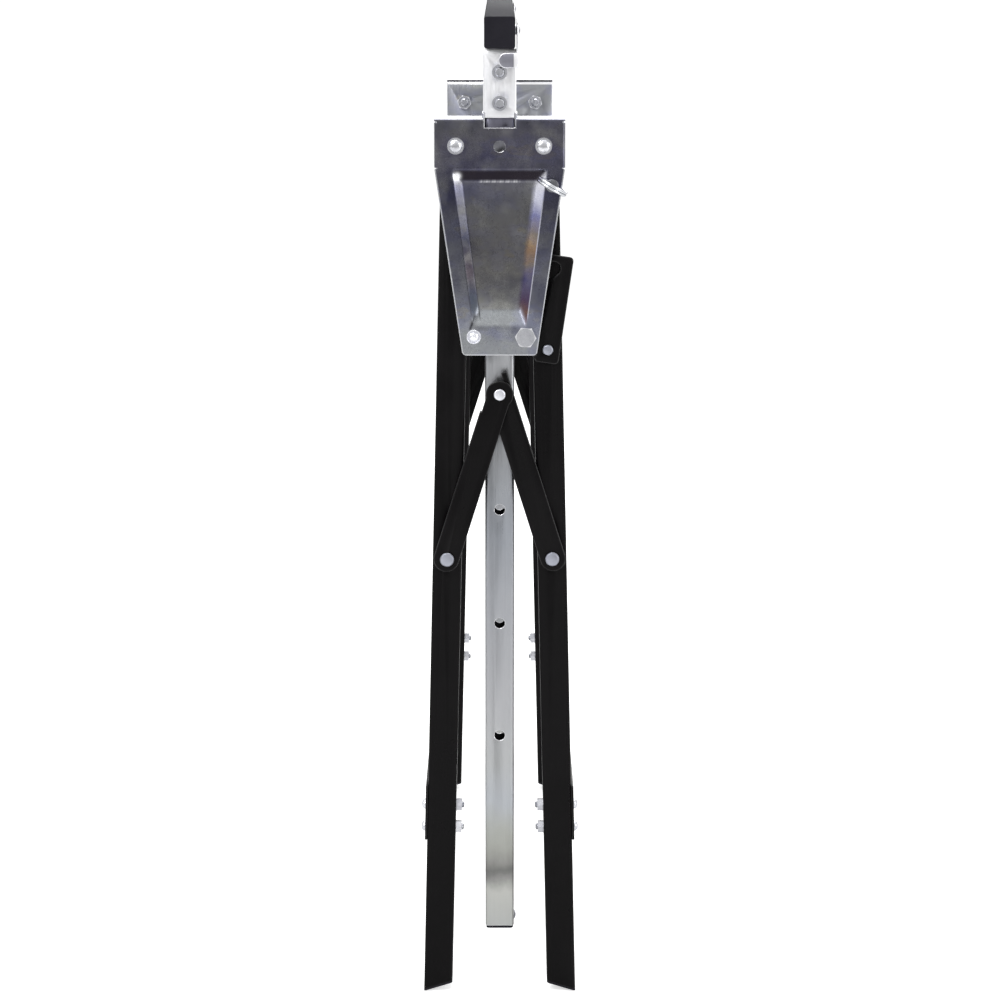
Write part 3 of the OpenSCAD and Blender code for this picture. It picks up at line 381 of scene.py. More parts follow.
def moulded_group() -> bpy.types.NodeTree:
    """Moulded plastic or rubber: fine spark-eroded grain and faint bloom.

    Returns:
        A group with Colour, Roughness and Normal outputs.
    """
    inputs = (
        Socket("Colour", Kind.COLOUR, (0.02, 0.02, 0.02, 1)),
        Socket("Bloom", Kind.COLOUR, (0.1, 0.1, 0.1, 1)),
        Socket("Roughness", Kind.NUMBER, 0.6),
        Socket("Grain", Kind.NUMBER, 900.0),
        Socket("Depth", Kind.NUMBER, 0.3),
    )
    kit = new_group("moulded", inputs, SURFACE)
    take = kit.source.outputs
    grain = kit.add("ShaderNodeTexVoronoi")
    kit.join(take["Vector"], grain.inputs["Vector"])
    kit.join(take["Grain"], grain.inputs["Scale"])
    cloud = kit.noise(take["Vector"], BLOOM_CLOUD)
    tone = kit.blend(kit.span(cloud, 0.35, 0.75, 0.0, 0.5), take["Colour"], take["Bloom"])
    rough = kit.math("ADD", take["Roughness"], kit.span(cloud, *NOISE_SPAN, -0.05, 0.08), clamp=True)
    normal = kit.bump(take["Depth"], grain.outputs["Distance"], 0.2 * MM)
    kit.give(Colour=tone, Roughness=rough, Normal=normal)
    return kit.tree


@dataclass(frozen=True)
class Film:
    """Tones that change up a part, broken up a little by clouds, much of them painted reflection, highlight and
    shade.

    Its stops are heights in millimetres with their tones as displayed. The clouds move the tones up
    and down by the wander, in metres.
    """

    name: str
    stops: tuple[Stop, ...]
    low: float = 560.0 * MM
    high: float = 780.0 * MM
    wander: float = 4.0 * MM

    def group(self) -> bpy.types.NodeTree:
        """Builds the film's group.

        Returns:
            A group with a Colour output.
        """
        # The group is one ramp of tones by height; on the bracket and the posts it holds painted reflection,
        # highlight and shade.
        kit = new_group(f"{self.name} film", (), SURFACE[:1])
        vector = kit.source.outputs["Vector"]
        reach = self.high - self.low
        drift = self.wander / reach
        level = kit.span(kit.split(vector)[2], self.low, self.high)
        place = kit.math("ADD", level, kit.span(kit.noise(vector, WANDER_CLOUD), *NOISE_SPAN, -drift, drift))
        stops = [((height * MM - self.low) / reach, srgb(*tone)) for height, tone in self.stops]
        kit.give(Colour=kit.ramp(place, stops))
        return kit.tree


BRACKET_TONES = (
    # Rim: painted reflection of the shiny zinc, darker at the top and lighter towards the bottom.
    Film("rim", (
        (575.0, (170, 173, 176)), (592.0, (164, 167, 171)), (608.0, (134, 136, 141)), (630.0, (119, 120, 127)),
        (655.0, (105, 106, 113)), (697.0, (80, 80, 92)), (712.0, (84, 84, 97)), (735.0, (102, 101, 113)),
        (757.0, (108, 107, 113)), (769.0, (102, 102, 106)),
    ), wander=14.0 * MM),
    # Recess floor: painted reflection, lighter towards its foot, with a bright band near it.
    Film("floor", (
        (596.0, (172, 174, 175)), (603.0, (196, 197, 195)), (610.0, (160, 160, 157)), (620.0, (132, 132, 128)),
        (632.0, (120, 119, 117)), (660.0, (110, 109, 107)), (700.0, (112, 112, 114)),
        (715.0, (120, 120, 128)),
    )),
    # Left wall: painted shade low down, turning to a painted highlight at its top.
    Film("left_wall", (
        (600.0, (74, 78, 82)), (620.0, (62, 66, 73)), (640.0, (67, 62, 67)), (665.0, (61, 62, 69)),
        (690.0, (99, 99, 101)), (707.0, (132, 132, 132)), (716.0, (158, 158, 158)), (722.0, (164, 164, 164)),
    )),
    # Right wall: real amber, violet and blue passivation stains, with a painted highlight at its top.
    Film("right_wall", (
        (605.0, (128, 100, 92)), (615.0, (104, 86, 108)), (630.0, (98, 94, 130)), (645.0, (126, 120, 118)),
        (660.0, (156, 128, 98)), (672.0, (140, 132, 126)), (685.0, (142, 144, 184)), (700.0, (226, 227, 242)),
        (720.0, (240, 240, 248)),
    )),
    # Top wall, which faces down: painted shade.
    Film("top_wall", ((700.0, (52, 48, 55)), (730.0, (44, 40, 46)))),
    # Foot wall, which faces up: painted light.
    Film("foot_wall", ((590.0, (166, 169, 172)), (612.0, (160, 164, 166)))),
    # Edge: painted highlight on the sheet's cut edges and bends.
    Film("edge", ((570.0, (240, 242, 244)), (770.0, (246, 247, 249)))),
    # Painted highlights along the floor's top and in one corner.
    Film("glint", ((570.0, (252, 252, 252)), (770.0, (252, 252, 253)))),
)

# Tones up the posts, darker and lighter in bands; the dark band at the top is painted shade where the post stands in
# the bracket's notch.
POST_TONES = Film("post", (
    (60.0, (187, 189, 187)), (94.0, (190, 191, 186)), (102.0, (146, 146, 143)), (110.0, (106, 106, 104)),
    (118.0, (136, 136, 132)), (130.0, (158, 159, 153)), (146.0, (168, 170, 165)), (173.0, (177, 181, 186)),
    (207.0, (178, 180, 181)), (260.0, (172, 173, 176)), (347.0, (160, 162, 167)), (417.0, (145, 149, 156)),
    (480.0, (140, 142, 145)), (540.0, (151, 153, 156)), (575.0, (162, 163, 166)), (740.0, (172, 173, 178)),
    (757.0, (100, 99, 112)), (775.0, (92, 91, 106)),
), low=50.0 * MM, high=830.0 * MM)

PASSIVATION: tuple[tuple[float, Colour], ...] = (
    (0.0, (0.5, 0.5, 0.5, 1.0)), (0.46, (0.5, 0.5, 0.5, 1.0)), (0.54, (0.42, 0.42, 0.66, 1.0)),
    (0.6, (0.38, 0.4, 0.74, 1.0)), (0.66, (0.62, 0.52, 0.36, 1.0)), (0.72, (0.48, 0.42, 0.66, 1.0)),
    (0.8, (0.5, 0.5, 0.5, 1.0)),
)


class Groups:
    """The shader node groups that the finishes share, each built once."""

    def __init__(self) -> None:
        """Builds the groups."""
        self.steel = rolled_steel_group()
        self.coat = powder_coat_group()
        self.moulded = moulded_group()
        self.films = {film.name: film.group() for film in BRACKET_TONES}
        self.post_film = POST_TONES.group()


class Bench(Nodes):
    """A material in the making: its nodes, its Principled shader and its Object coordinates."""

    def __init__(self, name: str, groups: Groups) -> None:
        """Makes the material.

        Args:
            name: The material's name.
            groups: The shared shader groups.
        """
        self.material = bpy.data.materials.new(name)
        self.material.use_nodes = True
        super().__init__(self.material.node_tree)
        self.groups = groups
        self.shader = next(n for n in self.tree.nodes if n.type == "BSDF_PRINCIPLED").inputs
        self.place = self.add("ShaderNodeTexCoord").outputs["Object"]

    def put(self, tree: bpy.types.NodeTree, **values: object) -> bpy.types.NodeOutputs:
        """Places a shared group on the Object coordinates, with this material's own values.

        Args:
            tree: The group.
            **values: Sockets or plain values for its inputs.

        Returns:
            The group's outputs.
        """
        node = self.add("ShaderNodeGroup", node_tree=tree)
        for name, value in {"Vector": self.place, **values}.items():
            self.join(value, node.inputs[name])
        return node.outputs

    def mask(self, name: str) -> Wire:
        """Reads a value that the piece keeps at its points."""
        return self.add("ShaderNodeAttribute", attribute_name=name).outputs["Fac"]

    def cover(self, colour: Wire, surface: bpy.types.NodeOutputs) -> None:
        """Feeds the shader with a colour and with a group's roughness and normal.

        Args:
            colour: The colour.
            surface: The group's outputs.
        """
        self.join(colour, self.shader["Base Color"])
        self.join(surface["Roughness"], self.shader["Roughness"])
        self.join(surface["Normal"], self.shader["Normal"])


@dataclass(frozen=True)
class Finish:
    """What every finish has: a name, how rough it is, a colour and a second tone."""

    name: str
    roughness: float
    colour: Colour = srgb(128, 128, 128)
    shade: Colour = srgb(128, 128, 128)

    def build(self, groups: Groups) -> bpy.types.Material:
        """Builds the material.

        Args:
            groups: The shared shader groups.

        Returns:
            The material.
        """
        bench = Bench(self.name, groups)
        self.lay(bench)
        return bench.material

    def lay(self, bench: Bench) -> None:
        """Lays the finish; each kind has its own way."""
        raise NotImplementedError


@dataclass(frozen=True)
class Zinc(Finish):
    """Zinc-plated or passivated steel."""

    cloud: float = 0.4
    lines: Tone = (900.0, 900.0, 12.0)
    relief: float = 0.08
    metallic: float = 1.0
    tints: float = 0.0

    def toned(self, bench: Bench, colour: Wire) -> Wire:
        """Leaves the tone as it is; a finish with a film of its own lays it over here."""
        return colour

    def plating(self, bench: Bench) -> None:
        """Sets how metallic the plating is, here the same everywhere."""
        bench.shader["Metallic"].default_value = self.metallic

    def tinted(self, bench: Bench, colour: Wire) -> Wire:
        """Lays faint blue, amber and violet clouds of passivation over a colour.

        Args:
            bench: The material in the making.
            colour: The colour under the clouds.

        Returns:
            The tinted colour, or the same one where the finish has no tints.
        """
        if self.tints <= 0:
            return colour
        film = bench.ramp(bench.noise(bench.place, TINT_CLOUD), PASSIVATION)
        return bench.blend(self.tints, colour, film, "OVERLAY")

    def steel(self, bench: Bench, colour: object, shade: object) -> bpy.types.NodeOutputs:
        """Places the rolled steel with this finish's grain.

        Args:
            bench: The material in the making.
            colour: The colour, or a socket with it.
            shade: The second tone, or a socket with it.

        Returns:
            The group's outputs.
        """
        return bench.put(
            bench.groups.steel, Colour=colour, Shade=shade, Roughness=self.roughness, Cloud=self.cloud,
            Lines=self.lines, Relief=self.relief,
        )

    def lay(self, bench: Bench) -> None:
        """Lays the plated steel.

        Args:
            bench: The material in the making.
        """
        steel = self.steel(bench, self.colour, self.shade)
        bench.cover(self.tinted(bench, self.toned(bench, steel["Colour"])), steel)
        self.plating(bench)


@dataclass(frozen=True)
class PostZinc(Zinc):
    """Satin zinc of the posts, whose tone changes in bands up the tube, with painted shade on the top band and inside
    the tube.
    """

    wall: float = 1.5 * MM
    past_wall: float = 0.1 * MM
    film: float = 0.93
    dark: float = 0.94

    def toned(self, bench: Bench, colour: Wire) -> Wire:
        """Lays the post's bands over the plain tone, and painted shade over the tube's bore.

        Args:
            bench: The material in the making.
            colour: The plain tone.

        Returns:
            The toned colour.
        """
        toned = bench.blend(self.film, colour, bench.put(bench.groups.post_film)["Colour"])
        low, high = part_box("front_post")
        bore = (high[0] - low[0]) / 2 - self.wall + self.past_wall
        x, y, _ = bench.split(bench.place)
        along = bench.math("SUBTRACT", bench.math("ABSOLUTE", y), abs(low[1] + high[1]) / 2)
        away = bench.math("MAXIMUM", bench.math("ABSOLUTE", x), bench.math("ABSOLUTE", along))
        # Painted shade inside the tube's bore.
        inside = bench.math("MULTIPLY", bench.math("LESS_THAN", away, bore), self.dark)
        return bench.blend(inside, toned, srgb(14, 14, 16))


@dataclass(frozen=True)
class SheetZinc(Zinc):
    """Zinc of the folded sheets, with a painted highlight on the bend under the top web and a painted dark reflection
    on the web itself.
    """

    bend: float = 3.0 * MM
    web: tuple[float, float] = (0.25 * MM, 0.1 * MM)
    clear: float = 17.0 * MM

    def toned(self, bench: Bench, colour: Wire) -> Wire:
        """Lays a painted highlight band and a painted dark-reflection band over the tone by the height, away from the
        post's guide.

        Args:
            bench: The material in the making.
            colour: The plain tone.

        Returns:
            The toned colour.
        """
        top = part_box("front_inner_plate")[1][2]
        x, _, z = bench.split(bench.place)
        aside = bench.math("GREATER_THAN", bench.math("ABSOLUTE", x), self.clear)
        bright = bench.span(z, top - self.bend, top - self.bend * 0.8)
        dull = bench.span(z, top - self.web[0], top - self.web[1], 0.0, 0.9)
        # Painted highlight on the bend, then painted dark reflection on the web's top.
        for band, tone in ((bright, srgb(248, 248, 250)), (dull, srgb(96, 90, 86))):
            colour = bench.blend(bench.math("MULTIPLY", band, aside), colour, tone)
        return colour


@dataclass(frozen=True)
class StopZinc(Zinc):
    """Zinc of the end stops: dark on the tab, with a painted highlight from the bend over the arm."""

    bend: tuple[float, float] = (11.5 * MM, 12.1 * MM)

    def toned(self, bench: Bench, colour: Wire) -> Wire:
        """Paints a highlight from the bend outward."""
        outward = bench.span(bench.split(bench.place)[0], *self.bend)
        return bench.blend(outward, colour, srgb(250, 250, 252))


@dataclass(frozen=True)
class SaddleZinc(Zinc):
    """Bright zinc of the saddles, matt on the top bend that lies under the bar."""

    bend: tuple[float, float] = (821.5 * MM, 822.3 * MM)
    matt: float = 0.15

    def plating(self, bench: Bench) -> None:
        """Makes the plating less metallic above the place where the bend begins."""
        height = bench.split(bench.place)[2]
        bench.join(bench.span(height, *self.bend, self.metallic, self.matt), bench.shader["Metallic"])


@dataclass(frozen=True)
class BracketZinc(Zinc):
    """Dark passivated zinc of the pressed bracket, with its own tones on the recess's floor and walls, mostly painted
    reflection, highlight and shade.

    Thin lines of painted shade run along the folds of the left wall, and one of painted highlight along the right
    wall's outer fold. Each is a distance from the recess's outline with its half width, both in millimetres, and
    shows between the foot and the head, which are heights in metres.
    """

    darker: Colour = (0.66, 0.66, 0.7, 1.0)
    violet: Colour = (0.6, 0.6, 0.73, 1.0)
    pale: Colour = (0.075, 0.075, 0.062, 1.0)
    dark_lines: tuple[tuple[float, float], ...] = ((0.3, 1.0), (7.2, 0.9))
    bright_line: tuple[float, float] = (0.3, 0.7)
    line_foot: tuple[float, float] = (0.597, 0.603)
    line_head: tuple[float, float] = (0.680, 0.712)

    def lay(self, bench: Bench) -> None:
        """Lays the tones over each other by the masks kept on the bracket's surface.

        Args:
            bench: The material in the making.
        """
        colour = None
        for name, tree in bench.groups.films.items():
            film = bench.put(tree)["Colour"]
            colour = film if colour is None else bench.blend(bench.mask(name), colour, film)
            if name == "right_wall":
                colour = self.mottled(bench, colour)
        colour = self.creased(bench, colour)
        steel = self.steel(bench, colour, bench.blend(1.0, colour, self.darker, "MULTIPLY"))
        bench.cover(self.tinted(bench, steel["Colour"]), steel)
        self.plating(bench)

    def mottled(self, bench: Bench, colour: Wire) -> Wire:
        """Lays wide dark violet clouds and smaller light ones over a colour.

        Args:
            bench: The material in the making.
            colour: The colour under the clouds.

        Returns:
            The clouded colour.
        """
        wide = bench.span(bench.noise(bench.place, WIDE_MOTTLE), 0.42, 0.64, 0.0, 0.8)
        small = bench.span(bench.noise(bench.place, SMALL_MOTTLE), 0.52, 0.72)
        dark = bench.blend(wide, colour, self.violet, "MULTIPLY")
        return bench.blend(small, dark, self.pale, "SCREEN")

    def line(self, bench: Bench, side: Wire, at: float, width: float) -> Wire:
        """Makes one line: a tent of a half width round a distance from the recess's outline.

        Args:
            bench: The material in the making.
            side: The distance that the surface keeps for one side.
            at: The distance of the line.
            width: Its half width.

        Returns:
            How much of the line shows.
        """
        away = bench.math("ABSOLUTE", bench.math("SUBTRACT", side, at))
        return bench.math("SUBTRACT", 1.0, bench.math("DIVIDE", away, width), clamp=True)

    def creased(self, bench: Bench, colour: Wire) -> Wire:
        """Draws thin lines: painted shade along the left wall's folds and in the lower left corner, and a painted
        highlight along the right wall's outer fold.

        Args:
            bench: The material in the making.
            colour: The colour under the lines.

        Returns:
            The colour with the lines.
        """
        height = bench.split(bench.place)[2]
        head = bench.span(height, *self.line_head, 1.0, 0.0)
        shown = bench.math("MULTIPLY", head, bench.span(height, *self.line_foot))
        left, right = bench.mask("left_side"), bench.mask("right_side")
        pair = bench.math("MAXIMUM", *(self.line(bench, left, *line) for line in self.dark_lines))
        dark = bench.math("MAXIMUM", bench.math("MULTIPLY", pair, shown), bench.mask("notch"))
        bright = bench.math("MULTIPLY", self.line(bench, right, *self.bright_line), shown)
        # Painted shade on the left wall's folds and the corner; painted highlight on the right wall's fold.
        colour = bench.blend(bench.math("MULTIPLY", dark, 0.85), colour, srgb(26, 25, 29))
        return bench.blend(bright, colour, srgb(214, 214, 224))


@dataclass(frozen=True)
class Coated(Finish):
    """Powder-coated steel."""

    peel: float = 0.25
    gloss: float = 0.13

    def lay(self, bench: Bench) -> None:
        """Lays the coat.

        Args:
            bench: The material in the making.
        """
        coat = bench.put(
            bench.groups.coat, Colour=self.colour, Scuff=self.shade, Roughness=self.roughness, Peel=self.peel
        )
        bench.cover(coat["Colour"], coat)
        bench.shader["Specular IOR Level"].default_value = self.gloss


@dataclass(frozen=True)
class Moulded(Finish):
    """Moulded plastic or rubber."""

    grain: float = 900.0
    depth: float = 0.3
    gloss: float = 0.3

    def lay(self, bench: Bench) -> None:
        """Lays the plastic or rubber.

        Args:
            bench: The material in the making.
        """
        skin = bench.put(
            bench.groups.moulded, Colour=self.colour, Bloom=self.shade, Roughness=self.roughness,
            Grain=self.grain, Depth=self.depth,
        )
        bench.cover(skin["Colour"], skin)
        bench.shader["Specular IOR Level"].default_value = self.gloss


FINISHES: tuple[Finish, ...] = (
    BracketZinc("bracket zinc", 0.26, cloud=0.6, lines=(500.0, 500.0, 500.0), relief=0.05, tints=0.2),
    SheetZinc("sheet zinc", 0.3, srgb(168, 170, 169), srgb(130, 131, 143), cloud=0.5, tints=0.2),
    PostZinc(
        "post zinc", 0.34, srgb(214, 215, 216), srgb(178, 181, 188), lines=(1400.0, 1400.0, 6.0), relief=0.12
    ),
    SaddleZinc("bright zinc", 0.32, srgb(252, 252, 253), srgb(226, 227, 233), cloud=0.3),
    Zinc("fastener zinc", 0.16, srgb(238, 239, 243), srgb(140, 142, 154), cloud=0.5),
    Zinc("rivet steel", 0.28, srgb(244, 245, 250), srgb(190, 191, 206), cloud=0.35),
    Zinc("pin steel", 0.14, srgb(226, 228, 232), srgb(150, 152, 158), cloud=0.25, relief=0.03),
    StopZinc("blued steel", 0.3, srgb(160, 160, 169), srgb(124, 124, 135), cloud=0.5, relief=0.06),
    Coated("black coat", 0.3, srgb(11, 10, 11), srgb(28, 26, 28), gloss=0.09),
    Moulded("black plastic", 0.45, srgb(26, 25, 31), srgb(38, 37, 44), gloss=0.12),
    Moulded("pad rubber", 0.75, srgb(68, 68, 71), srgb(80, 80, 83), grain=700.0, depth=0.5, gloss=0.04),
    # Lighter, glossier coat on the rounded edges of black parts; the lighter tone is a painted highlight.
    Coated("coat edge", 0.2, srgb(30, 29, 30), srgb(44, 43, 43), gloss=0.32),
    Zinc("dull rivet", 0.3, srgb(178, 181, 191), srgb(142, 144, 158), cloud=0.45, relief=0.1),
    Zinc("dark pin", 0.2, srgb(128, 129, 134), srgb(84, 85, 92), relief=0.04),
    # Near-white finish for rounded and cut edges and the bands of turned parts: a painted highlight.
    Zinc("cut edge", 0.25, srgb(250, 250, 252), srgb(226, 227, 234)),
)


class Paintshop:
    """Builds each finish once and puts it on pieces."""

    def __init__(self) -> None:
        """Builds the shared groups and every finish."""
        groups = Groups()
        self.materials = {finish.name.replace(" ", "_"): finish.build(groups) for finish in FINISHES}
        self.slots = {part["node"]: part["material_slot"] for part in FRAME["record"]["subparts"]}

    def paint(self, piece: bpy.types.Object, slot: str) -> None:
        """Gives a piece or a CAD node one finish.

        Args:
            piece: The piece to paint.
            slot: The material slot's name.
        """
        piece.data.materials.clear()
        piece.data.materials.append(self.materials[slot])

    def dress(self, piece: bpy.types.Object, slot: str, edge: str | None = None, look: str | None = None) -> None:
        """Gives a new piece the finish of the record's slot or another look, and shows its rounded edges in another
        tone.

        Args:
            piece: The new piece.
            slot: The record's material slot.
            edge: The finish of the edges that its bevel makes, if they differ.
            look: The finish to use in place of the slot's own.
        """
        self.paint(piece, look or slot)
        if edge is not None:
            piece.data.materials.append(self.materials[edge])
            for modifier in piece.modifiers:
                if modifier.type == "BEVEL":
                    modifier.material = 1

    def paint_nodes(self) -> None:
        """Gives every CAD node the finish of its slot."""
        for name, node in FRAME["nodes"].items():
            self.paint(node, self.slots[name])


def body_of(node: str) -> str:
    """Finds the body that holds a CAD node.

    Args:
        node: The node's name.

    Returns:
        The body's name.
    """
    groups = FRAME["record"]["behaviour"]["bodies"]
    return next(body for body, members in groups.items() if node in members)


def add_piece(name: str, points: np.ndarray, faces: list, body: str) -> bpy.types.Object:
    """Makes a mesh object from points and faces and lets it ride on a body.

    Args:
        name: The piece's name.
        points: An array of N by 3 places in metres.
        faces: Faces as lists of point numbers.
        body: The body it rides on.

    Returns:
        The new object.
    """
    mesh = bpy.data.meshes.new(name)
    mesh.from_pydata(points.tolist(), [], faces)
    mesh.validate()
    mesh.polygons.foreach_set("use_smooth", np.full(len(mesh.polygons), True))
    piece = bpy.data.objects.new(name, mesh)
    bpy.context.scene.collection.objects.link(piece)
    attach(piece, body)
    return piece


def grid_faces(rows: int, columns: int, close_rows: bool = False, close_columns: bool = False) -> np.ndarray:
    """Numbers the quads of a grid of points, row by row.

    Args:
        rows: Number of rows of points.
        columns: Number of points in a row.
        close_rows: Whether the last row joins the first.
        close_columns: Whether each row is a loop.

    Returns:
        An array of quads, four point numbers each.
    """
    i = np.arange(rows if close_rows else rows - 1)
    j = np.arange(columns if close_columns else columns - 1)
    a, b = np.meshgrid(i, j, indexing="ij")
    a, b = a.ravel(), b.ravel()
    a2, b2 = (a + 1) % rows, (b + 1) % columns
    return np.stack([a * columns + b, a * columns + b2, a2 * columns + b2, a2 * columns + b], axis=1)


def rounded_edges(piece: bpy.types.Object, width: float, segments: int = 2, angle: float = 32.0) -> None:
    """Rounds a piece's sharp edges and keeps its flats flat.

    Args:
        piece: The piece.
        width: Width of the rounding in metres.
        segments: Steps across the rounding.
        angle: Edges sharper than this many degrees are rounded.
    """
    bevel = piece.modifiers.new("rounded edges", "BEVEL")
    bevel.width = width
    bevel.segments = segments
    bevel.limit_method = "ANGLE"
    bevel.angle_limit = math.radians(angle)
    bevel.use_clamp_overlap = False
    bevel.harden_normals = True
    bevel.miter_outer = "MITER_ARC"


def softened(node: str, width: float) -> bpy.types.Object:
    """Copies a CAD node, joins its triangles into whole faces and rounds its edges.

    Args:
        node: The CAD node that the piece stands for.
        width: Width of the edge rounding in metres.

    Returns:
        The piece, which replaces the node.
    """
    mesh = FRAME["nodes"][node].data.copy()
    work = bmesh.new()
    work.from_mesh(mesh)
    bmesh.ops.remove_doubles(work, verts=work.verts, dist=2e-6)
    bmesh.ops.dissolve_limit(work, angle_limit=math.radians(0.6), verts=work.verts, edges=work.edges)
    work.to_mesh(mesh)
    work.free()
    mesh.polygons.foreach_set("use_smooth", np.full(len(mesh.polygons), True))
    piece = bpy.data.objects.new(node + "_made", mesh)
    bpy.context.scene.collection.objects.link(piece)
    rounded_edges(piece, width)
    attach(piece, body_of(node))
    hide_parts(node)
    return piece


def sweep(path: np.ndarray, radius: float, sides: int) -> tuple[np.ndarray, np.ndarray]:
    """Carries a circle along an open path.

    Each ring stands square to the path. Its first axis points away from the middle of the whole
    path, so the tube doesn't twist.

    Args:
        path: N by 3 points of the middle line.
        radius: Radius of the wire.
        sides: Sides of the circle.

    Returns:
        The points and the quads of the tube.
    """
    run = np.gradient(path, axis=0)
    run /= np.linalg.norm(run, axis=1, keepdims=True)
    centre = path.mean(axis=0)
    out = path - centre
    out -= run * np.sum(out * run, axis=1, keepdims=True)
    out /= np.linalg.norm(out, axis=1, keepdims=True)
    third = np.cross(run, out)
    angle = np.linspace(0, 2 * np.pi, sides, endpoint=False)
    ring = out[:, None, :] * np.cos(angle)[None, :, None] + third[:, None, :] * np.sin(angle)[None, :, None]
    points = path[:, None, :] + radius * ring
    return points.reshape(-1, 3), grid_faces(len(path), sides, close_columns=True)


def bare_ears(mesh: bpy.types.Mesh, sides: tuple[float, float] = (12.6 * MM, 16.0 * MM)) -> None:
    """Puts a guide's second finish, a near-white painted highlight, on the cut end faces of its side walls and ears.

    Args:
        mesh: The guide's mesh.
        sides: Distances from the middle between which the faces along Y are the walls' ends.
    """
    count = len(mesh.polygons)
    centre, normal = np.zeros(count * 3), np.zeros(count * 3)
    mesh.polygons.foreach_get("center", centre)
    mesh.polygons.foreach_get("normal", normal)
    aside = np.abs(centre[0::3])
    ends = (np.abs(normal[1::3]) > 0.9) & (aside > sides[0]) & (aside < sides[1])
    mesh.polygons.foreach_set("material_index", ends.astype(np.int32))


@dataclass
class PlainParts:
    """The parts whose CAD shape is whole and only needs its edges rounded.

    The first word of the widths that a node's name holds gives its rounding in millimetres.
    """

    shop: Paintshop
    widths: dict[str, float] = field(
        default_factory=lambda: {
            "leg": 0.7, "post": 0.4, "strut": 0.5, "brace": 0.6, "lever": 0.8, "plate": 0.6, "guide": 0.7,
            "saddle": 0.5, "bolt": 0.4, "rivet": 0.3, "bush": 0.3, "plug": 0.5, "pin": 0.4, "stop": 0.55,
            "rail": 0.5, "bar": 0.4,
        }
    )
    other_width: float = 0.4
    looks: dict[str, str] = field(
        default_factory=lambda: {
            "left_brace_rivets": "dull_rivet", "right_brace_rivet": "dull_rivet",
            "lever_rivets": "dull_rivet", "lock_pin": "dark_pin",
        }
    )
    # The rounded edges take a lighter finish than the body: a painted highlight.
    edges: dict[str, str] = field(
        default_factory=lambda: {
            "black_coat": "coat_edge", "blued_steel": "cut_edge", "sheet_zinc": "cut_edge",
            "post_zinc": "cut_edge",
        }
    )
    left_out: tuple[str, ...] = (
        "front_pin_ring", "rear_pin_ring", "front_outer_plate", "rear_outer_plate", "hinge_bolts", "hinge_nuts",
        "hook_bolts", "hook_bolt_nuts", "saddle_bolts", "saddle_nuts", "right_strut_bolts", "right_strut_nuts",
        "left_strut_bolts", "left_strut_nuts", "guide_rivets", "bar_end_caps",
    )

    def build(self) -> None:
        """Rounds each part with the width for its kind."""
        for node in sorted(FRAME["nodes"]):
            if node in self.left_out:
                continue
            width = next((wide for word, wide in self.widths.items() if word in node), self.other_width) * MM
            piece = softened(node, width)
            slot = self.shop.slots[node]
            look = next((finish for word, finish in self.looks.items() if word in node), None)
            self.shop.dress(piece, slot, self.edges.get(slot), look)
            # Painted highlight on the guide's ear ends.
            if node.endswith("post_guide"):
                bare_ears(piece.data)
            LOG.info("%s: rounded by %.1f mm", piece.name, width / MM)


def soft_step(value: np.ndarray, round_share: float) -> np.ndarray:
    """Ramps from 0 to 1 with a rounded foot and a rounded shoulder.

    Between the two roundings the ramp is straight. Each rounding is a parabola that leaves the level
    part with no slope and meets the ramp with the ramp's slope.

    Args:
        value: Place along the ramp, 0 at its foot and 1 at its shoulder.
        round_share: Half the width of each rounding.

    Returns:
        The height at each place.
    """
    e = round_share
    foot = (value + e) ** 2 / (4 * e)
    shoulder = 1 - (1 + e - value) ** 2 / (4 * e)
    ramp = np.where(value < e, foot, np.where(value > 1 - e, shoulder, value))
    return np.where(value <= -e, 0.0, np.where(value >= 1 + e, 1.0, ramp))


def soft_least(first: np.ndarray, second: np.ndarray, blend: float) -> np.ndarray:
    """Takes the lesser of two fields, blended where they are close.

    Args:
        first: First field.
        second: Second field.
        blend: Difference over which they blend.

    Returns:
        The lesser field, lowered a little along the seam, which rounds its corner.
    """
    share = np.clip(0.5 + 0.5 * (second - first) / blend, 0, 1)
    return second + (first - second) * share - blend * share * (1 - share)


def bored(
    points: np.ndarray, faces: np.ndarray, centre: tuple[float, float], radius: float, reach: float
) -> tuple[np.ndarray, np.ndarray]:
    """Cuts a round hole along Y into a flat part of a grid.

    The quads whose middles lie within the reach are taken out. Each point on the rim that is left is
    joined to a new point on the hole's circle in the same direction from its centre.

    Args:
        points: The grid's points.
        faces: Its quads.
        centre: X and Z of the hole.
        radius: Radius of the hole.
        reach: Distance within which quads are taken out.

    Returns:
        The points and quads with the hole in them.
    """
    flat = points[:, [0, 2]] - np.array(centre)
    gone = np.linalg.norm(flat[faces].mean(axis=1), axis=1) < reach
    edges = np.concatenate([faces[gone][:, [i, (i + 1) % 4]] for i in range(4)])
    _, index, count = np.unique(np.sort(edges, axis=1), axis=0, return_index=True, return_counts=True)
    rim = edges[index[count == 1]]
    ids = np.unique(rim)
    ring = points[ids].copy()
    ring[:, [0, 2]] = np.array(centre) + radius * flat[ids] / np.linalg.norm(flat[ids], axis=1, keepdims=True)
    inner = np.searchsorted(ids, rim) + len(points)
    collar = np.stack([rim[:, 0], rim[:, 1], inner[:, 1], inner[:, 0]], axis=1)
    return np.concatenate([points, ring]), np.concatenate([faces[~gone], collar])


def deep_rows(flat_rows: int, deep: np.ndarray) -> np.ndarray:
    """Values of all rows: none for the flat ones, then those of the bend and the web."""
    return np.concatenate([np.zeros(flat_rows), deep])


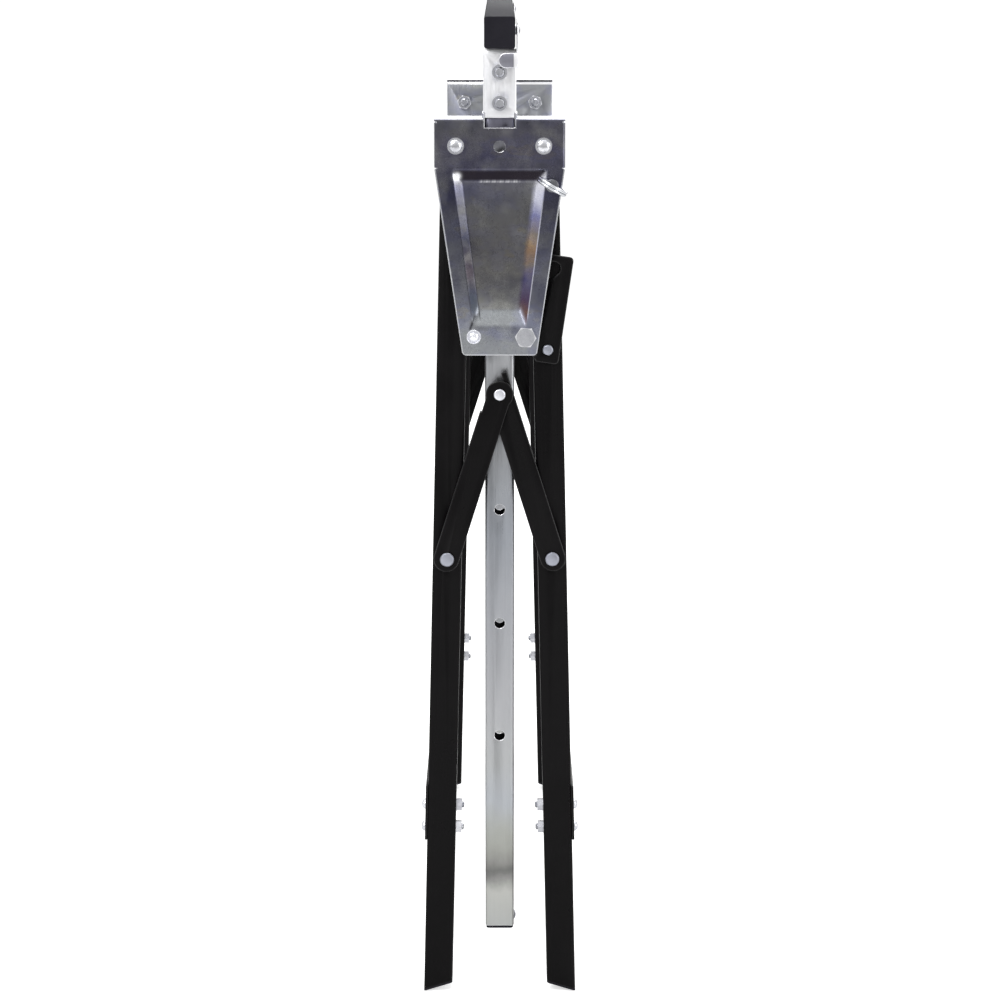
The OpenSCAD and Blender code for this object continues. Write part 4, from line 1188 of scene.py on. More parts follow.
@dataclass
class PressedBracket:
    """The outer bracket plate: one sheet with a pressed recess, folded back at its top and its sides."""

    shop: Paintshop
    end: End
    sheet: float = 2.0 * MM
    fold: float = 2.4 * MM
    top_half: float = 55.198 * MM
    low_half: float = 31.466 * MM
    foot_round: float = 3.0 * MM
    plate_low: float = 568.604 * MM
    plate_top: float = 768.702 * MM
    shoulder: float = 727.502 * MM
    lip_depth: float = 8.0 * MM
    web_depth: float = 38.0 * MM
    notch_half: float = 13.92 * MM
    notch_low: float = 760.502 * MM
    guide_half: float = 15.1 * MM
    guide_depth: float = 7.8 * MM
    recess: tuple[float, float] = (593.004 * MM, 725.804 * MM)
    recess_half: tuple[float, float] = (22.9 * MM, 40.198 * MM)
    recess_depth: float = 4.8 * MM
    slopes: tuple[float, float, float] = (7.4 * MM, 9.8 * MM, 14.7 * MM)
    across_steps: int = 139
    up_steps: int = 168
    bend_steps: int = 7
    corner_blend: float = 0.3
    fold_round: float = 0.13
    collar: float = 0.9 * MM
    holes: tuple[tuple[float, float, float], ...] = (
        (0.0, 745.102 * MM, 5.0 * MM),
        (43.998 * MM, 713.004 * MM, 4.05 * MM),
        (36.998 * MM, 745.704 * MM, 4.05 * MM),
        (-36.998 * MM, 745.704 * MM, 4.05 * MM),
        (21.966 * MM, 584.504 * MM, 5.05 * MM),
        (-21.966 * MM, 584.504 * MM, 4.05 * MM),
    )

    def half_width(self, z: np.ndarray) -> np.ndarray:
        """Half width of the flat part: straight under the top, then tapering to a rounded foot.

        Args:
            z: Heights.

        Returns:
            The half width at each height.
        """
        straight = self.top_half - self.fold
        share = np.clip((z - self.plate_low) / (self.shoulder - self.plate_low), 0, 1)
        taper = self.low_half + (self.top_half - self.low_half) * share
        drop = np.clip(self.foot_round - (z - self.plate_low), 0, self.foot_round)
        taper = taper - self.foot_round + np.sqrt(self.foot_round**2 - drop**2)
        blend = np.clip((z - self.shoulder + 1.2 * MM) / (1.2 * MM), 0, 1)
        return taper + (straight - taper) * blend

    def pressing(self, x: np.ndarray, z: np.ndarray) -> tuple[np.ndarray, dict[str, np.ndarray]]:
        """Depth of the recess: a rounded ramp over the least distance from its four edges.

        Each distance is measured in widths of that edge's sloping wall, so 0 is the recess's outline
        and 1 the edge of its floor.

        Args:
            x: Places across the plate.
            z: Heights.

        Returns:
            The depth at each place, and how much each place belongs to the floor and to each wall.
        """
        share = (z - self.recess[0]) / (self.recess[1] - self.recess[0])
        edge = self.recess_half[0] + (self.recess_half[1] - self.recess_half[0]) * np.clip(share, 0, 1)
        side = (edge - np.abs(x)) / self.slopes[0]
        top = (self.recess[1] - z) / self.slopes[1]
        foot = (z - self.recess[0]) / self.slopes[2]
        least = soft_least(soft_least(side, top, self.corner_blend), foot, self.corner_blend)
        height = soft_step(least, self.fold_round)
        wall = np.clip(np.minimum(least / 0.12, (1 - least) / 0.12), 0, 1)
        wide_wall = np.clip(np.minimum(least / 0.12, (1.5 - least) / 0.5), 0, 1)
        nearest = np.stack([side, top, foot])
        share_of = np.exp(-8 * (nearest - nearest.min(axis=0)))
        share_of /= share_of.sum(axis=0)
        masks = {
            "floor": np.clip((least - 0.88) / 0.2, 0, 1),
            "left_wall": wall * share_of[0] * (x < 0),
            "right_wall": wide_wall * share_of[0] * (x > 0),
            "top_wall": wall * share_of[1],
            "foot_wall": wall * share_of[2],
            # Painted highlights on the floor's top and one corner.
            "glint": self.glints(x, z, top, least),
            "left_side": np.where(x < 0, side * self.slopes[0] / MM, 99.0),
            "right_side": np.where(x > 0, side * self.slopes[0] / MM, 99.0),
            # Mask of the painted shade in the lower left corner's fold.
            "notch": self.notch_mark(x, z),
        }
        return self.recess_depth * height, masks

    def notch_mark(self, x: np.ndarray, z: np.ndarray) -> np.ndarray:
        """Marks painted shade in the fold at the recess's lower left corner: a bell over the distance from a short
        line.

        Args:
            x: Places across the plate.
            z: Heights.

        Returns:
            How dark each place is.
        """
        start, end = np.array([-20.6, 602.0]) * MM, np.array([-25.0, 591.5]) * MM
        way = end - start
        share = np.clip(((x - start[0]) * way[0] + (z - start[1]) * way[1]) / (way @ way), 0, 1)
        away = np.hypot(x - start[0] - share * way[0], z - start[1] - share * way[1])
        return np.exp(-((away / (1.0 * MM + 0.7 * MM * (1 - share))) ** 2))

    def glints(self, x: np.ndarray, z: np.ndarray, top: np.ndarray, least: np.ndarray) -> np.ndarray:
        """Marks painted highlights: a broken line along the floor's top and one corner.

        The line is a bell over the distance from the floor's upper edge, broken up by two waves along
        X. The corner is a bell round the recess's upper left corner.

        Args:
            x: Places across the plate.
            z: Heights.
            top: Distance from the recess's upper edge in widths of its wall.
            least: Distance from its nearest edge.

        Returns:
            How much painted highlight each place has.
        """
        near_line = np.exp(-(((top - 1.02) * self.slopes[1] / (0.55 * MM)) ** 2)) * (least > 0.9)
        broken = np.clip(0.55 + 0.5 * np.sin(x / MM * 1.9) * np.sin(x / MM * 0.83 + 1.2), 0, 1)
        line = near_line * broken * np.clip((18 * MM - np.abs(x)) / (3 * MM), 0, 1) * 1.3
        corner = np.hypot(x + self.recess_half[1] - 4.4 * MM, z - self.recess[1] + 5.6 * MM)
        return np.clip(np.maximum(line, 1.7 * np.exp(-((corner / (2.6 * MM)) ** 2))), 0, 1)

    def surface(self) -> tuple[np.ndarray, np.ndarray, dict[str, np.ndarray]]:
        """Works out the outer skin of the sheet.

        Columns run across the plate, round a quarter bend and back along the side lips. Rows run up
        the plate, round a quarter bend and back along the top web. What lies beyond both bends, the
        notch, the web's opening and the lips under the shoulder are left out.

        Returns:
            The points, the quads and the masks of the recess's walls.
        """
        flat = self.top_half - self.fold
        marks = np.array([self.notch_half, self.guide_half]) / flat
        u = np.unique(np.round(np.concatenate([np.linspace(-1, 1, self.across_steps), marks, -marks]), 6))
        bend = np.linspace(0, np.pi / 2, self.bend_steps)[1:]
        lip = np.linspace(0, self.lip_depth - self.fold, 4)[1:]
        arm = np.concatenate([self.fold * np.sin(bend), np.full(len(lip), self.fold)])
        back = np.concatenate([self.fold * (1 - np.cos(bend)), self.fold + lip])
        web = np.linspace(0, self.web_depth - self.fold, 14)[1:]
        web = np.sort(np.append(web, self.guide_depth - self.fold))
        rise = np.concatenate([self.fold * np.sin(bend), np.full(len(web), self.fold)])
        deep = np.concatenate([self.fold * (1 - np.cos(bend)), self.fold + web])

        bend_z = self.plate_top - self.fold
        levels = np.linspace(self.plate_low, bend_z, self.up_steps)
        foot = self.plate_low + self.foot_round * (1 - np.cos(np.linspace(0, np.pi / 2, 6)))
        z = np.unique(np.round(np.concatenate([levels, foot, [self.notch_low, self.shoulder]]), 7))
        rows, columns = len(z) + len(rise), len(u) + 2 * len(arm)

        across = np.concatenate([-np.ones(len(arm)), u, np.ones(len(arm))])
        reach = np.concatenate([-arm[::-1], np.zeros(len(u)), arm])
        side_back = np.concatenate([back[::-1], np.zeros(len(u)), back])
        level = np.concatenate([z, np.full(len(rise), bend_z)])
        half = self.half_width(level)
        widen = deep_rows(len(z), np.clip(rise / self.fold * 2, 0, 1) * (self.fold - 0.1 * MM))
        spread = np.clip((np.abs(across) - 0.5) / 0.5, 0, 1) ** 2 * np.sign(across)
        x = across[None, :] * half[:, None] + reach[None, :] + spread[None, :] * widen[:, None]
        height = level + deep_rows(len(z), rise)
        zz = np.repeat(height[:, None], columns, axis=1)
        pressed, masks = self.pressing(x, zz)
        folded = deep_rows(len(z), deep)[:, None]
        depth = pressed + side_back[None, :] + folded
        from_edge = np.minimum(half[:, None] - np.abs(x), zz - self.plate_low)
        cut = np.clip((1.0 * MM - from_edge) / (0.4 * MM), 0, 1) * (zz < self.shoulder)
        bent = np.maximum((side_back > 0.3 * self.fold)[None, :], folded > 0.3 * self.fold)
        bent = bent * (depth < self.web_depth - 7 * MM)
        # Where the painted highlight of the cut edges and bends shows.
        masks["edge"] = np.maximum(cut, bent)

        quads = grid_faces(rows, columns)
        r, c = np.divmod(quads[:, 0], columns)
        beyond_side = (c < len(arm)) | (c >= columns - len(arm) - 1)
        beyond_top = r >= len(z) - 1
        low_lip = beyond_side & (height[r] < self.shoulder - 1e-7)
        middle = np.abs(x.ravel()[quads].mean(axis=1))
        notch = (middle < self.notch_half) & (height[r] > self.notch_low - 1e-7)
        deep_in = depth.ravel()[quads].min(axis=1) > self.guide_depth - 1e-7
        opening = beyond_top & (middle < self.guide_half + 0.2 * MM) & deep_in
        lip_top = beyond_side & (r >= len(z) - 2)
        keep = ~((beyond_side & beyond_top) | low_lip | notch | opening | lip_top)

        outward = self.end.value
        points = np.stack([x.ravel(), outward * (HALF_LENGTH - depth.ravel()), zz.ravel()], axis=1)
        faces = quads[keep]
        if outward > 0:
            faces = faces[:, ::-1]
        for hole_x, hole_z, radius in self.holes:
            points, faces = bored(points, faces, (hole_x, hole_z), radius, radius + self.collar)
        extra = len(points) - rows * columns
        masks = {name: np.append(mask.ravel(), np.zeros(extra)) for name, mask in masks.items()}
        used = np.unique(faces)
        renumber = np.zeros(len(points), int)
        renumber[used] = np.arange(len(used))
        return points[used], renumber[faces], {name: mask[used] for name, mask in masks.items()}

    def build(self) -> bpy.types.Object:
        """Makes the sheet with its thickness and its cut edges.

        Returns:
            The bracket plate.
        """
        node = f"{self.end.word}_outer_plate"
        points, faces, masks = self.surface()
        piece = add_piece(f"{self.end.word}_pressed_bracket", points, faces.tolist(), body_of(node))
        for name, mask in masks.items():
            layer = piece.data.attributes.new(name, "FLOAT", "POINT")
            layer.data.foreach_set("value", mask.astype(np.float32))
        wall = piece.modifiers.new("sheet", "SOLIDIFY")
        wall.thickness = self.sheet
        wall.offset = -1.0
        wall.use_even_offset = True
        cut = piece.modifiers.new("cut edges", "BEVEL")
        cut.width = 0.4 * MM
        cut.segments = 2
        cut.limit_method = "ANGLE"
        cut.angle_limit = math.radians(50)
        cut.use_clamp_overlap = True
        cut.harden_normals = True
        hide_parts(node)
        # Its rounded cut edges take the near-white finish, a painted highlight.
        self.shop.dress(piece, "bracket_zinc", "cut_edge")
        LOG.info("%s: %d quads, recess %.1f mm deep", piece.name, len(faces), self.recess_depth / MM)
        return piece


class Turned(Enum):
    """How a row of a turned part is shaped round its axis."""

    ROUND = 0
    HEXAGON = 1
    THREAD = 2


@dataclass(frozen=True)
class Row:
    """One row of a turned part: how far along the axis, its radius, and its shape."""

    along: float
    radius: float
    shape: Turned = Turned.ROUND


def threaded(start: float, stop: float, radius: float, pitch: float) -> list[Row]:
    """Rows close enough to draw a thread between two places on the axis.

    Args:
        start: First place along the axis.
        stop: Last place.
        radius: Outer radius of the thread.
        pitch: Distance between its turns.

    Returns:
        Eight rows for each turn.
    """
    count = max(4, int(abs(stop - start) / pitch * 8))
    return [Row(float(at), radius, Turned.THREAD) for at in np.linspace(start, stop, count)]


@dataclass(frozen=True)
class TurnedPart:
    """A bolt, nut or rivet: rows of points round an axis, some of them hexagonal or threaded.

    The bands that follow the listed rows take the second, near-white finish: a painted highlight on the chamfered top
    corners and the rim of the top face.
    """

    rows: tuple[Row, ...]
    flats: float = 13.0 * MM
    pitch: float = 1.25 * MM
    turn: float = 0.0
    ring: bool = False
    columns: int = 48
    rubbed: tuple[int, ...] = ()

    def mesh(self) -> tuple[np.ndarray, list[list[int]]]:
        """Works out the part along its own +Z axis.

        A hexagonal row's radius is the lesser of its own and that of a hexagon, half its flats over
        the cosine of the angle from the middle of the nearest flat. A threaded row's radius falls
        and rises evenly once in each pitch, shifted by one pitch for a full turn round the axis.

        Returns:
            The points, and the faces with their end caps unless the part is a ring.
        """
        angle = np.linspace(0, 2 * np.pi, self.columns, endpoint=False)
        along = np.array([row.along for row in self.rows])[:, None]
        radius = np.array([row.radius for row in self.rows])[:, None]
        shape = np.array([row.shape.value for row in self.rows])[:, None]
        from_flat = (angle + math.pi / 6) % (math.pi / 3) - math.pi / 6
        hexagon = (self.flats / 2 / np.cos(from_flat))[None, :]
        wave = np.abs(2 * ((along / self.pitch - angle[None, :] / (2 * np.pi)) % 1) - 1)
        reach = np.where(shape == Turned.HEXAGON.value, np.minimum(radius, hexagon), radius + 0 * hexagon)
        reach = np.where(shape == Turned.THREAD.value, radius - 0.5 * self.pitch * wave, reach)
        spin = angle + self.turn
        points = np.stack([reach * np.cos(spin), reach * np.sin(spin), along + 0 * reach], axis=-1).reshape(-1, 3)
        faces = grid_faces(len(self.rows), self.columns, close_rows=self.ring, close_columns=True).tolist()
        if not self.ring:
            last = len(points) - self.columns
            faces += [list(range(self.columns))[::-1], list(range(last, len(points)))]
        return points, faces


def turned_off(flats: float) -> tuple[float, float, float]:
    """Sizes of a hexagon whose corners are turned off at 30 degrees.

    Args:
        flats: Width across the flats.

    Returns:
        The radius of the corners, that of the face, and the height of what is turned off.
    """
    corner = flats / math.sqrt(3)
    face = corner * 0.95
    return corner, face, (corner - face) * math.tan(math.radians(30))


def hexagonal(*places: tuple[float, float]) -> list[Row]:
    """Makes hexagonal rows from places along the axis with their radii."""
    return [Row(along, radius, Turned.HEXAGON) for along, radius in places]


def shank_rows(shank: float, radius: float, thread: float, pitch: float) -> list[Row]:
    """Rows of a bolt's shank, from its threaded tip up to its head.

    Args:
        shank: Length under the head.
        radius: Radius of the shank.
        thread: Length of the thread.
        pitch: Pitch of the thread.

    Returns:
        The rows.
    """
    rows = [Row(-shank, radius - 0.9 * MM), Row(-shank + 0.8 * MM, radius - 0.1 * MM)]
    rows += threaded(-shank + 0.9 * MM, -shank + thread, radius, pitch)
    return rows + [Row(-shank + thread + 0.2 * MM, radius), Row(0.0, radius)]


def hex_nut(height: float, flats: float, bore: float, pitch: float, turn: float = 0.0) -> TurnedPart:
    """A nut standing on the XY plane, its corners turned off at both faces.

    Args:
        height: Height of the nut.
        flats: Width across its flats.
        bore: Radius of the bolt in it.
        pitch: Pitch of the thread.
        turn: Turn about its axis.

    Returns:
        The nut.
    """
    corner, face, edge = turned_off(flats)
    mouth = bore + 0.35 * MM
    rows = hexagonal((0.0, face), (edge, corner), (height - edge, corner), (height, face), (height, corner * 0.84))
    rows += [Row(height, mouth), Row(height - 0.5 * MM, bore), Row(0.5 * MM, bore), Row(0.0, mouth)]
    return TurnedPart(tuple(rows), flats, pitch, turn, ring=True, rubbed=(2, 3))


def hex_bolt(
    shank: float, radius: float, head: float, flats: float, thread: float, pitch: float, turn: float = 0.0
) -> TurnedPart:
    """A bolt whose head stands on the XY plane and whose shank runs down, threaded at its tip.

    Args:
        shank: Length under the head.
        radius: Radius of the shank.
        head: Height of the head.
        flats: Width across the head's flats.
        thread: Length of the thread.
        pitch: Pitch of the thread.
        turn: Turn about its axis.

    Returns:
        The bolt.
    """
    corner, face, edge = turned_off(flats)
    rows = shank_rows(shank, radius, thread, pitch)
    rows += hexagonal((0.0, face), (edge * 0.6, corner), (head - edge, corner), (head, face), (head, corner * 0.84))
    return TurnedPart(tuple(rows), flats, pitch, turn, rubbed=(len(rows) - 3, len(rows) - 2))


def round_bolt(
    shank: float, radius: float, head: float, head_radius: float, flange: tuple[float, float], thread: float,
    pitch: float,
) -> TurnedPart:
    """A bolt with a domed head on a thin flange, threaded at its tip.

    Args:
        shank: Length under the head.
        radius: Radius of the shank.
        head: Height of the head with its flange.
        head_radius: Radius of the dome.
        flange: Radius and thickness of the flange.
        thread: Length of the thread.
        pitch: Pitch of the thread.

    Returns:
        The bolt.
    """
    wide, thick = flange
    rows = shank_rows(shank, radius, thread, pitch)
    rows += [Row(0.0, wide - 0.1 * MM), Row(thick * 0.5, wide), Row(thick, wide - 0.25 * MM), Row(thick, head_radius)]
    rise = np.linspace(0.0, math.pi / 2, 9)[:-1].tolist()
    rows += [Row(thick + (head - thick) * math.sin(a), head_radius * math.cos(a) ** 0.8) for a in rise]
    return TurnedPart(tuple(rows), pitch=pitch)


@dataclass
class Fasteners:
    """The bolts and nuts of the trestle, each turned on its axis and set where the CAD has it."""

    shop: Paintshop
    hinge: tuple[float, float] = (36.998 * MM, 745.704 * MM)
    lower: tuple[float, float] = (21.966 * MM, 584.504 * MM)
    inner_back: float = 38.0 * MM
    lean: float = math.radians(1.34)
    tube_middle: float = 22.9 * MM
    saddle_front: float = 8.9 * MM
    saddle_back: float = 36.9 * MM
    strut_middle: float = 157.9 * MM

    def gather(self, node: str, parts: list[tuple[TurnedPart, np.ndarray]]) -> bpy.types.Object:
        """Sets turned parts by their matrices and makes them one piece in place of a node.

        Args:
            node: The CAD node.
            parts: Each part with its 3 by 4 placing matrix.

        Returns:
            The piece.
        """
        all_points, all_faces, tones, count = [], [], [], 0
        for part, matrix in parts:
            points, faces = part.mesh()
            tone = np.zeros(len(faces), np.int32)
            # The bands after the listed rows take the near-white finish: a painted highlight.
            for row in part.rubbed:
                tone[row * part.columns : (row + 1) * part.columns] = 1
            tones.append(tone)
            placed = points @ matrix[:, :3].T + matrix[:, 3]
            flip = np.linalg.det(matrix[:, :3]) < 0
            all_points.append(placed)
            all_faces += [[n + count for n in (face[::-1] if flip else face)] for face in faces]
            count += len(points)
        piece = add_piece(node + "_turned", np.concatenate(all_points), all_faces, body_of(node))
        piece.data.set_sharp_from_angle(angle=math.radians(28))
        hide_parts(node)
        self.shop.dress(piece, self.shop.slots[node], "cut_edge")
        piece.data.polygons.foreach_set("material_index", np.concatenate(tones))
        LOG.info("%s: %d turned", piece.name, len(parts))
        return piece

    def along_y(self, x: float, z: float, depth: float, end: End, outward: bool) -> np.ndarray:
        """Places a part's +Z axis along Y at a depth under an end bracket's face.

        Args:
            x: Place across.
            z: Height.
            depth: Depth of the part's XY plane.
            end: The end.
            outward: Whether the part's +Z points out of the trestle.

        Returns:
            The placing matrix.
        """
        way = end.value if outward else -end.value
        place = [[1, 0, 0, x], [0, 0, way, end.value * (HALF_LENGTH - depth)], [0, 1, 0, z]]
        return np.array(place, float)

    def across_leg(self, side: float, end: End, z: float, out: float) -> np.ndarray:
        """Places a part's +Z axis square to a leg, pointing to its outer side.

        Args:
            side: 1 for the right leg, -1 for the left.
            end: The end.
            z: Place along the leg from its hinge.
            out: Distance of the part's XY plane from the leg's middle.

        Returns:
            The placing matrix.
        """
        cos, sin = math.cos(self.lean), math.sin(self.lean)
        x = self.hinge[0] + out * cos - z * sin
        height = self.hinge[1] + out * sin + z * cos
        return np.array([
            [0, -side * sin, side * cos, side * x],
            [1, 0, 0, end.value * (HALF_LENGTH - self.tube_middle)],
            [0, cos, sin, height],
        ], float)

    def build(self) -> None:
        """Turns every kind of fastener."""
        back, hinge, lower = self.inner_back, self.hinge, self.lower
        low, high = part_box("saddle_nuts")
        hinges = [(end, side * hinge[0], hinge[1]) for end in End for side in (1.0, -1.0)]
        hooks = [(end, lower[0], lower[1]) for end in End]
        rivets = [(end, -lower[0], lower[1]) for end in End]
        saddles = [(end, 0.0, z) for end in End for z in (low[2] + 6.5 * MM, high[2] - 6.5 * MM)]
        hinge_bolt = round_bolt(back + 10 * MM, 4 * MM, 3.2 * MM, 5.5 * MM, (7.2 * MM, 0.7 * MM), 14 * MM, 1.25 * MM)
        hook_bolt = hex_bolt(back + 10 * MM, 5 * MM, 5.5 * MM, 16 * MM, 14 * MM, 1.5 * MM, math.radians(26))
        saddle_bolt = hex_bolt(37.5 * MM, 4 * MM, 5.3 * MM, 13 * MM, 12 * MM, 1.25 * MM, 0.15)
        sets = (
            ("hinge_bolts", hinge_bolt, hinges, 0.0, True),
            ("hinge_nuts", hex_nut(8 * MM, 13 * MM, 4 * MM, 1.25 * MM, 0.3), hinges, back, False),
            ("hook_bolts", hook_bolt, hooks, 0.0, True),
            ("hook_bolt_nuts", hex_nut(8 * MM, 16 * MM, 5 * MM, 1.5 * MM, 0.2), hooks, back, False),
            ("guide_rivets", self.lower_rivet(), rivets, 0.0, True),
            ("saddle_bolts", saddle_bolt, saddles, self.saddle_back, False),
            ("saddle_nuts", hex_nut(6.5 * MM, 13 * MM, 4 * MM, 1.25 * MM), saddles, self.saddle_front, True),
        )
        for node, part, spots, depth, outward in sets:
            self.gather(node, [(part, self.along_y(x, z, depth, end, outward)) for end, x, z in spots])
        self.strut_set()

    def lower_rivet(self) -> TurnedPart:
        """Shapes the lower rivet: a round head with a turned groove, and a domed head behind.

        Returns:
            The rivet, its front head's underside on the XY plane.
        """
        back = self.inner_back / MM
        profile = (
            (-back - 2.0, 3.0), (-back - 1.6, 5.0), (-back - 0.8, 6.1), (-back, 6.1), (-back, 4.0), (0.0, 4.0),
            (0.0, 6.1), (0.9, 6.1), (1.3, 5.7), (1.4, 5.2), (0.2, 4.7), (0.2, 4.0), (1.3, 3.6), (1.9, 2.6),
            (2.0, 1.6), (1.5, 0.8),
        )
        return TurnedPart(tuple(Row(along * MM, radius * MM) for along, radius in profile))

    def strut_set(self) -> None:
        """Sets the domed bolts and the nuts that hold the side strips on the legs."""
        bolt = round_bolt(34.0 * MM, 3 * MM, 3.5 * MM, 4.4 * MM, (4.8 * MM, 0.4 * MM), 12 * MM, 1.0 * MM)
        nut = hex_nut(5 * MM, 10 * MM, 3 * MM, 1.0 * MM, 0.4)
        middle = (self.strut_middle - self.hinge[1]) / math.cos(self.lean)
        for name, side in (("right", 1.0), ("left", -1.0)):
            spots = [(end, middle + shift * MM) for end in End for shift in (-10.0, 10.0)]
            self.gather(f"{name}_strut_bolts", [(bolt, self.across_leg(side, e, z, 14.5 * MM)) for e, z in spots])
            self.gather(f"{name}_strut_nuts", [(nut, self.across_leg(side, e, z, -17.5 * MM)) for e, z in spots])


@dataclass
class BarCaps:
    """The moulded caps on the ends of the padded bar."""

    shop: Paintshop
    half: float = 13.05 * MM
    low: float = 826.65 * MM
    high: float = 853.3 * MM
    corner: float = 2.3 * MM
    stand: float = 1.0 * MM
    columns: int = 48

    def loop(self, inset: float, depth: float, end: End) -> np.ndarray:
        """Works out one loop round the cap: a rectangle with round corners, drawn in by an inset.

        Args:
            inset: How far it is drawn in.
            depth: Its distance in front of the bar's end.
            end: The end.

        Returns:
            The loop's points.
        """
        angle = np.linspace(0, 2 * np.pi, self.columns, endpoint=False) + np.pi / (2 * self.columns)
        radius = max(self.corner - inset, 0.2 * MM)
        middle = (self.low + self.high) / 2
        reach_x, reach_z = self.half - inset - radius, (self.high - self.low) / 2 - inset - radius
        x = np.sign(np.cos(angle)) * reach_x + radius * np.cos(angle)
        z = middle + np.sign(np.sin(angle)) * reach_z + radius * np.sin(angle)
        return np.stack([x, np.full(self.columns, end.value * (HALF_LENGTH + depth)), z], axis=1)

    def build(self) -> bpy.types.Object:
        """Makes both caps as one piece: a flange with a rolled rim and a face dished by a hair.

        Returns:
            The caps.
        """
        rows = ((1.6, -4.0), (1.6, 0.0), (0.0, 0.0), (0.0, 0.55), (0.15, 0.8), (0.45, 0.95), (0.9, 1.0), (2.2, 0.92))
        points, faces = [], []
        for end in End:
            start = self.columns * len(rows) * len(points)
            loops = np.concatenate([self.loop(inset * MM, depth * self.stand, end) for inset, depth in rows])
            quads = grid_faces(len(rows), self.columns, close_columns=True) + start
            back = list(range(start, start + self.columns))
            front = list(range(start + len(loops) - self.columns, start + len(loops)))
            made = quads.tolist() + [back[::-1], front]
            faces += made if end is End.FRONT else [face[::-1] for face in made]
            points.append(loops)
        piece = add_piece("bar_caps_moulded", np.concatenate(points), faces, body_of("bar_end_caps"))
        piece.data.set_sharp_from_angle(angle=math.radians(50))
        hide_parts("bar_end_caps")
        self.shop.dress(piece, "black_plastic")
        LOG.info("%s: flange %.1f mm", piece.name, self.stand / MM)
        return piece


@dataclass
class SplitRing:
    """The split ring of a locking pin: two turns of round wire lying side by side."""

    shop: Paintshop
    end: End
    wire: float = 2.5 * MM
    tilt: float = 30.0
    start: float = 0.8
    climb: tuple[float, float] = (1.6 * math.pi, 2.4 * math.pi)
    steps: int = 120
    sides: int = 12

    def build(self) -> bpy.types.Object:
        """Winds the wire inside the ring's CAD box.

        The middle line goes round twice and climbs evenly from one turn to the next. Its ends are
        closed flat.

        Returns:
            The ring.
        """
        node = f"{self.end.word}_pin_ring"
        low, high = (np.array(corner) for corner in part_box(node))
        centre = (low + high) / 2
        radius = (high[1] - low[1]) / 2 - self.wire / 2
        turn = np.linspace(0, 4 * np.pi, 2 * self.steps)
        height = np.interp(turn, self.climb, (-1.0, 1.0)) * self.wire * 0.49
        angle = turn + self.start
        flat = np.stack([radius * np.cos(angle), radius * np.sin(angle), height], axis=1)
        lean = math.radians(self.tilt)
        across = flat[:, 0] * math.cos(lean) + flat[:, 2] * math.sin(lean)
        up = -flat[:, 0] * math.sin(lean) + flat[:, 2] * math.cos(lean)
        path = centre + np.stack([across, flat[:, 1], up], axis=1)
        points, faces = sweep(path, self.wire / 2 * 0.98, self.sides)
        caps = [list(range(self.sides))[::-1], list(range(len(points) - self.sides, len(points)))]
        piece = add_piece(f"{self.end.word}_ring_wire", points, faces.tolist() + caps, body_of(node))
        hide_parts(node)
        self.shop.dress(piece, "pin_steel")
        LOG.info("%s: two turns of %.1f mm wire", piece.name, self.wire / MM)
        return piece


@dataclass(frozen=True)
class Lamp:
    """A soft rectangular lamp: its place, the point it faces, its size in metres and its power in watts."""

    name: str
    place: Tone
    aim: Tone
    size: tuple[float, float]
    power: float

    def light(self) -> None:
        """Hangs the lamp and turns it to the point it faces."""
        data = bpy.data.lights.new(self.name, "AREA")
        data.shape = "RECTANGLE"
        data.size, data.size_y = self.size
        data.energy = self.power
        way = np.array(self.aim) - np.array(self.place)
        way = way / np.linalg.norm(way)
        yaw = math.atan2(way[1], way[0])
        pitch = math.asin(way[2])
        lamp = bpy.data.objects.new(self.name, data)
        lamp.location = self.place
        lamp.rotation_euler = (math.pi / 2 + pitch, 0, yaw - math.pi / 2)
        bpy.context.scene.collection.objects.link(lamp)


LAMPS = (
    Lamp("key", (-1.6, -2.6, 2.6), (0, 0, 0.5), (1.6, 1.6), 60.0),
    Lamp("fill", (2.2, -2.0, 1.2), (0, 0, 0.5), (1.4, 1.8), 26.0),
    Lamp("top", (0.0, 0.4, 3.0), (0, 0, 0.4), (2.0, 2.0), 40.0),
    Lamp("back", (0.6, 3.0, 2.0), (0, 0, 0.5), (2.0, 2.0), 40.0),
)


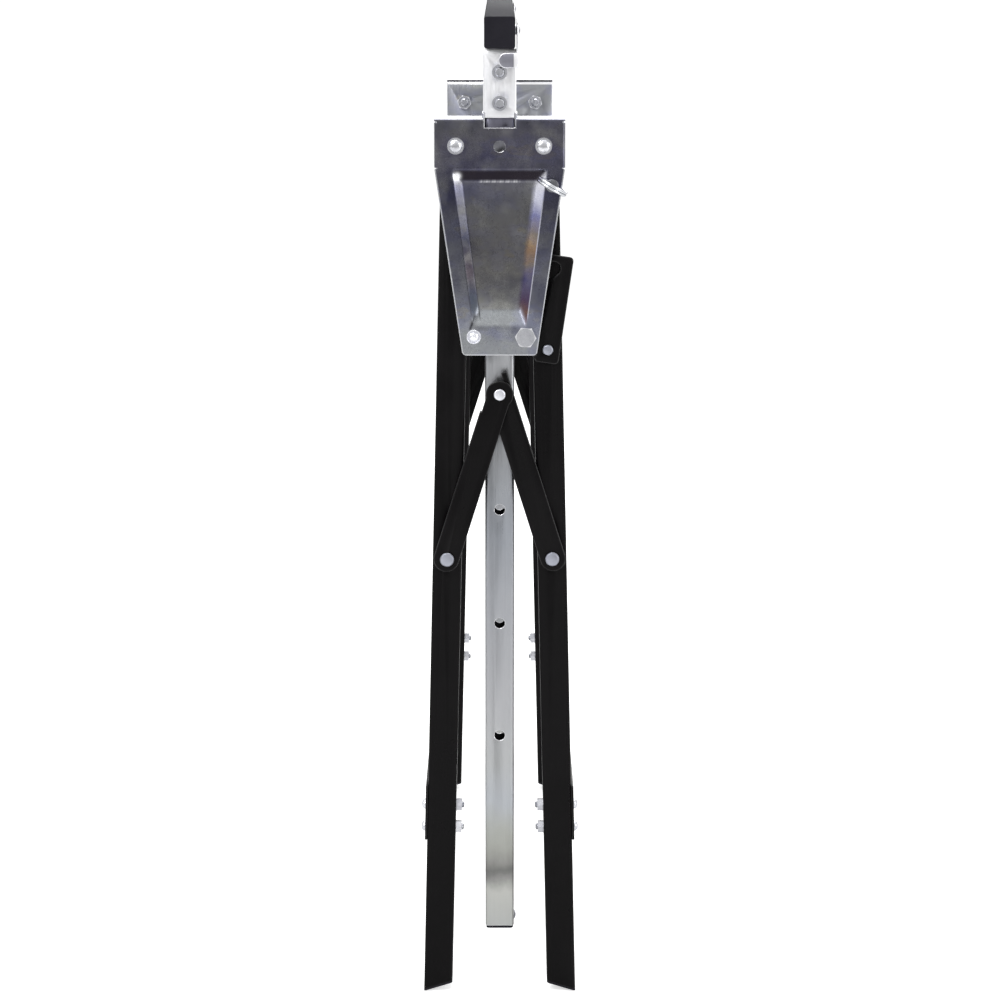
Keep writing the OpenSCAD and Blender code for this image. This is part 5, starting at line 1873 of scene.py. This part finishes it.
@dataclass
class Studio:
    """Pale floor, soft lamps and the camera at the photograph's place."""

    eye: tuple[float, float, float] = (0.0003, -2.995, 0.9293)
    lens: float = 113.06
    down: float = 10.40
    floor_half: float = 600.0
    dim: float = 0.4
    dim_from: float = 0.75

    def camera(self) -> None:
        """Places the camera a little above the trestle and turns it down to the trestle's middle."""
        data = bpy.data.cameras.new("camera")
        data.lens = self.lens
        data.sensor_width = 36.0
        data.clip_end = 2000.0
        camera = bpy.data.objects.new("camera", data)
        camera.location = self.eye
        camera.rotation_euler = (math.radians(90 - self.down), 0, 0)
        bpy.context.scene.collection.objects.link(camera)
        bpy.context.scene.camera = camera

    def world(self) -> None:
        """Sets a soft grey studio that shows white to the camera and to gloss."""
        world = bpy.data.worlds.new("studio")
        world.use_nodes = True
        bpy.context.scene.world = world
        kit = Nodes(world.node_tree)
        back = next(n for n in world.node_tree.nodes if n.type == "BACKGROUND")
        ray = kit.add("ShaderNodeLightPath")
        shown = kit.math("MAXIMUM", ray.outputs["Is Camera Ray"], ray.outputs["Is Transmission Ray"])
        shown = kit.math("MAXIMUM", shown, ray.outputs["Is Glossy Ray"])
        level = kit.span(shown, 0.0, 1.0, 0.5, 1.0)
        axes = kit.split(kit.add("ShaderNodeTexCoord").outputs["Generated"])
        ends = kit.span(kit.math("ABSOLUTE", axes[1]), self.dim_from, 1.0, 0.0, self.dim)
        level = kit.math("SUBTRACT", level, kit.math("MULTIPLY", ends, ray.outputs["Is Glossy Ray"]))
        kit.join(level, back.inputs["Strength"])
        back.inputs["Color"].default_value = (1.0, 1.0, 1.0, 1.0)

    def floor(self) -> None:
        """Lays a pale floor that reads white and keeps the shadow."""
        half = self.floor_half
        points = np.array([[-half, -half, 0], [half, -half, 0], [half, half, 0], [-half, half, 0]], float)
        mesh = bpy.data.meshes.new("floor")
        mesh.from_pydata(points.tolist(), [], [[0, 1, 2, 3]])
        floor = bpy.data.objects.new("floor", mesh)
        bpy.context.scene.collection.objects.link(floor)
        material = bpy.data.materials.new("pale floor")
        material.use_nodes = True
        kit = Nodes(material.node_tree)
        shader = next(n for n in material.node_tree.nodes if n.type == "BSDF_PRINCIPLED")
        shader.inputs["Base Color"].default_value = (0.86, 0.86, 0.86, 1)
        shader.inputs["Roughness"].default_value = 0.8
        ray = kit.add("ShaderNodeLightPath")
        glow = kit.span(ray.outputs["Is Camera Ray"], 0.0, 1.0, 0.0, 0.6)
        shader.inputs["Emission Color"].default_value = (1, 1, 1, 1)
        kit.join(glow, shader.inputs["Emission Strength"])
        mesh.materials.append(material)

    def build(self) -> None:
        """Sets the whole studio."""
        self.camera()
        self.world()
        self.floor()
        for lamp in LAMPS:
            lamp.light()
        view = bpy.context.scene.view_settings
        view.view_transform = "Standard"


def main() -> None:
    """Dresses the trestle and sets the studio."""
    logging.basicConfig(level=logging.INFO, format="%(message)s")
    Studio().build()
    shop = Paintshop()
    shop.paint_nodes()
    PlainParts(shop).build()
    Fasteners(shop).build()
    BarCaps(shop).build()
    for end in End:
        PressedBracket(shop, end).build()
        SplitRing(shop, end).build()


if __name__ == "__main__":
    main()
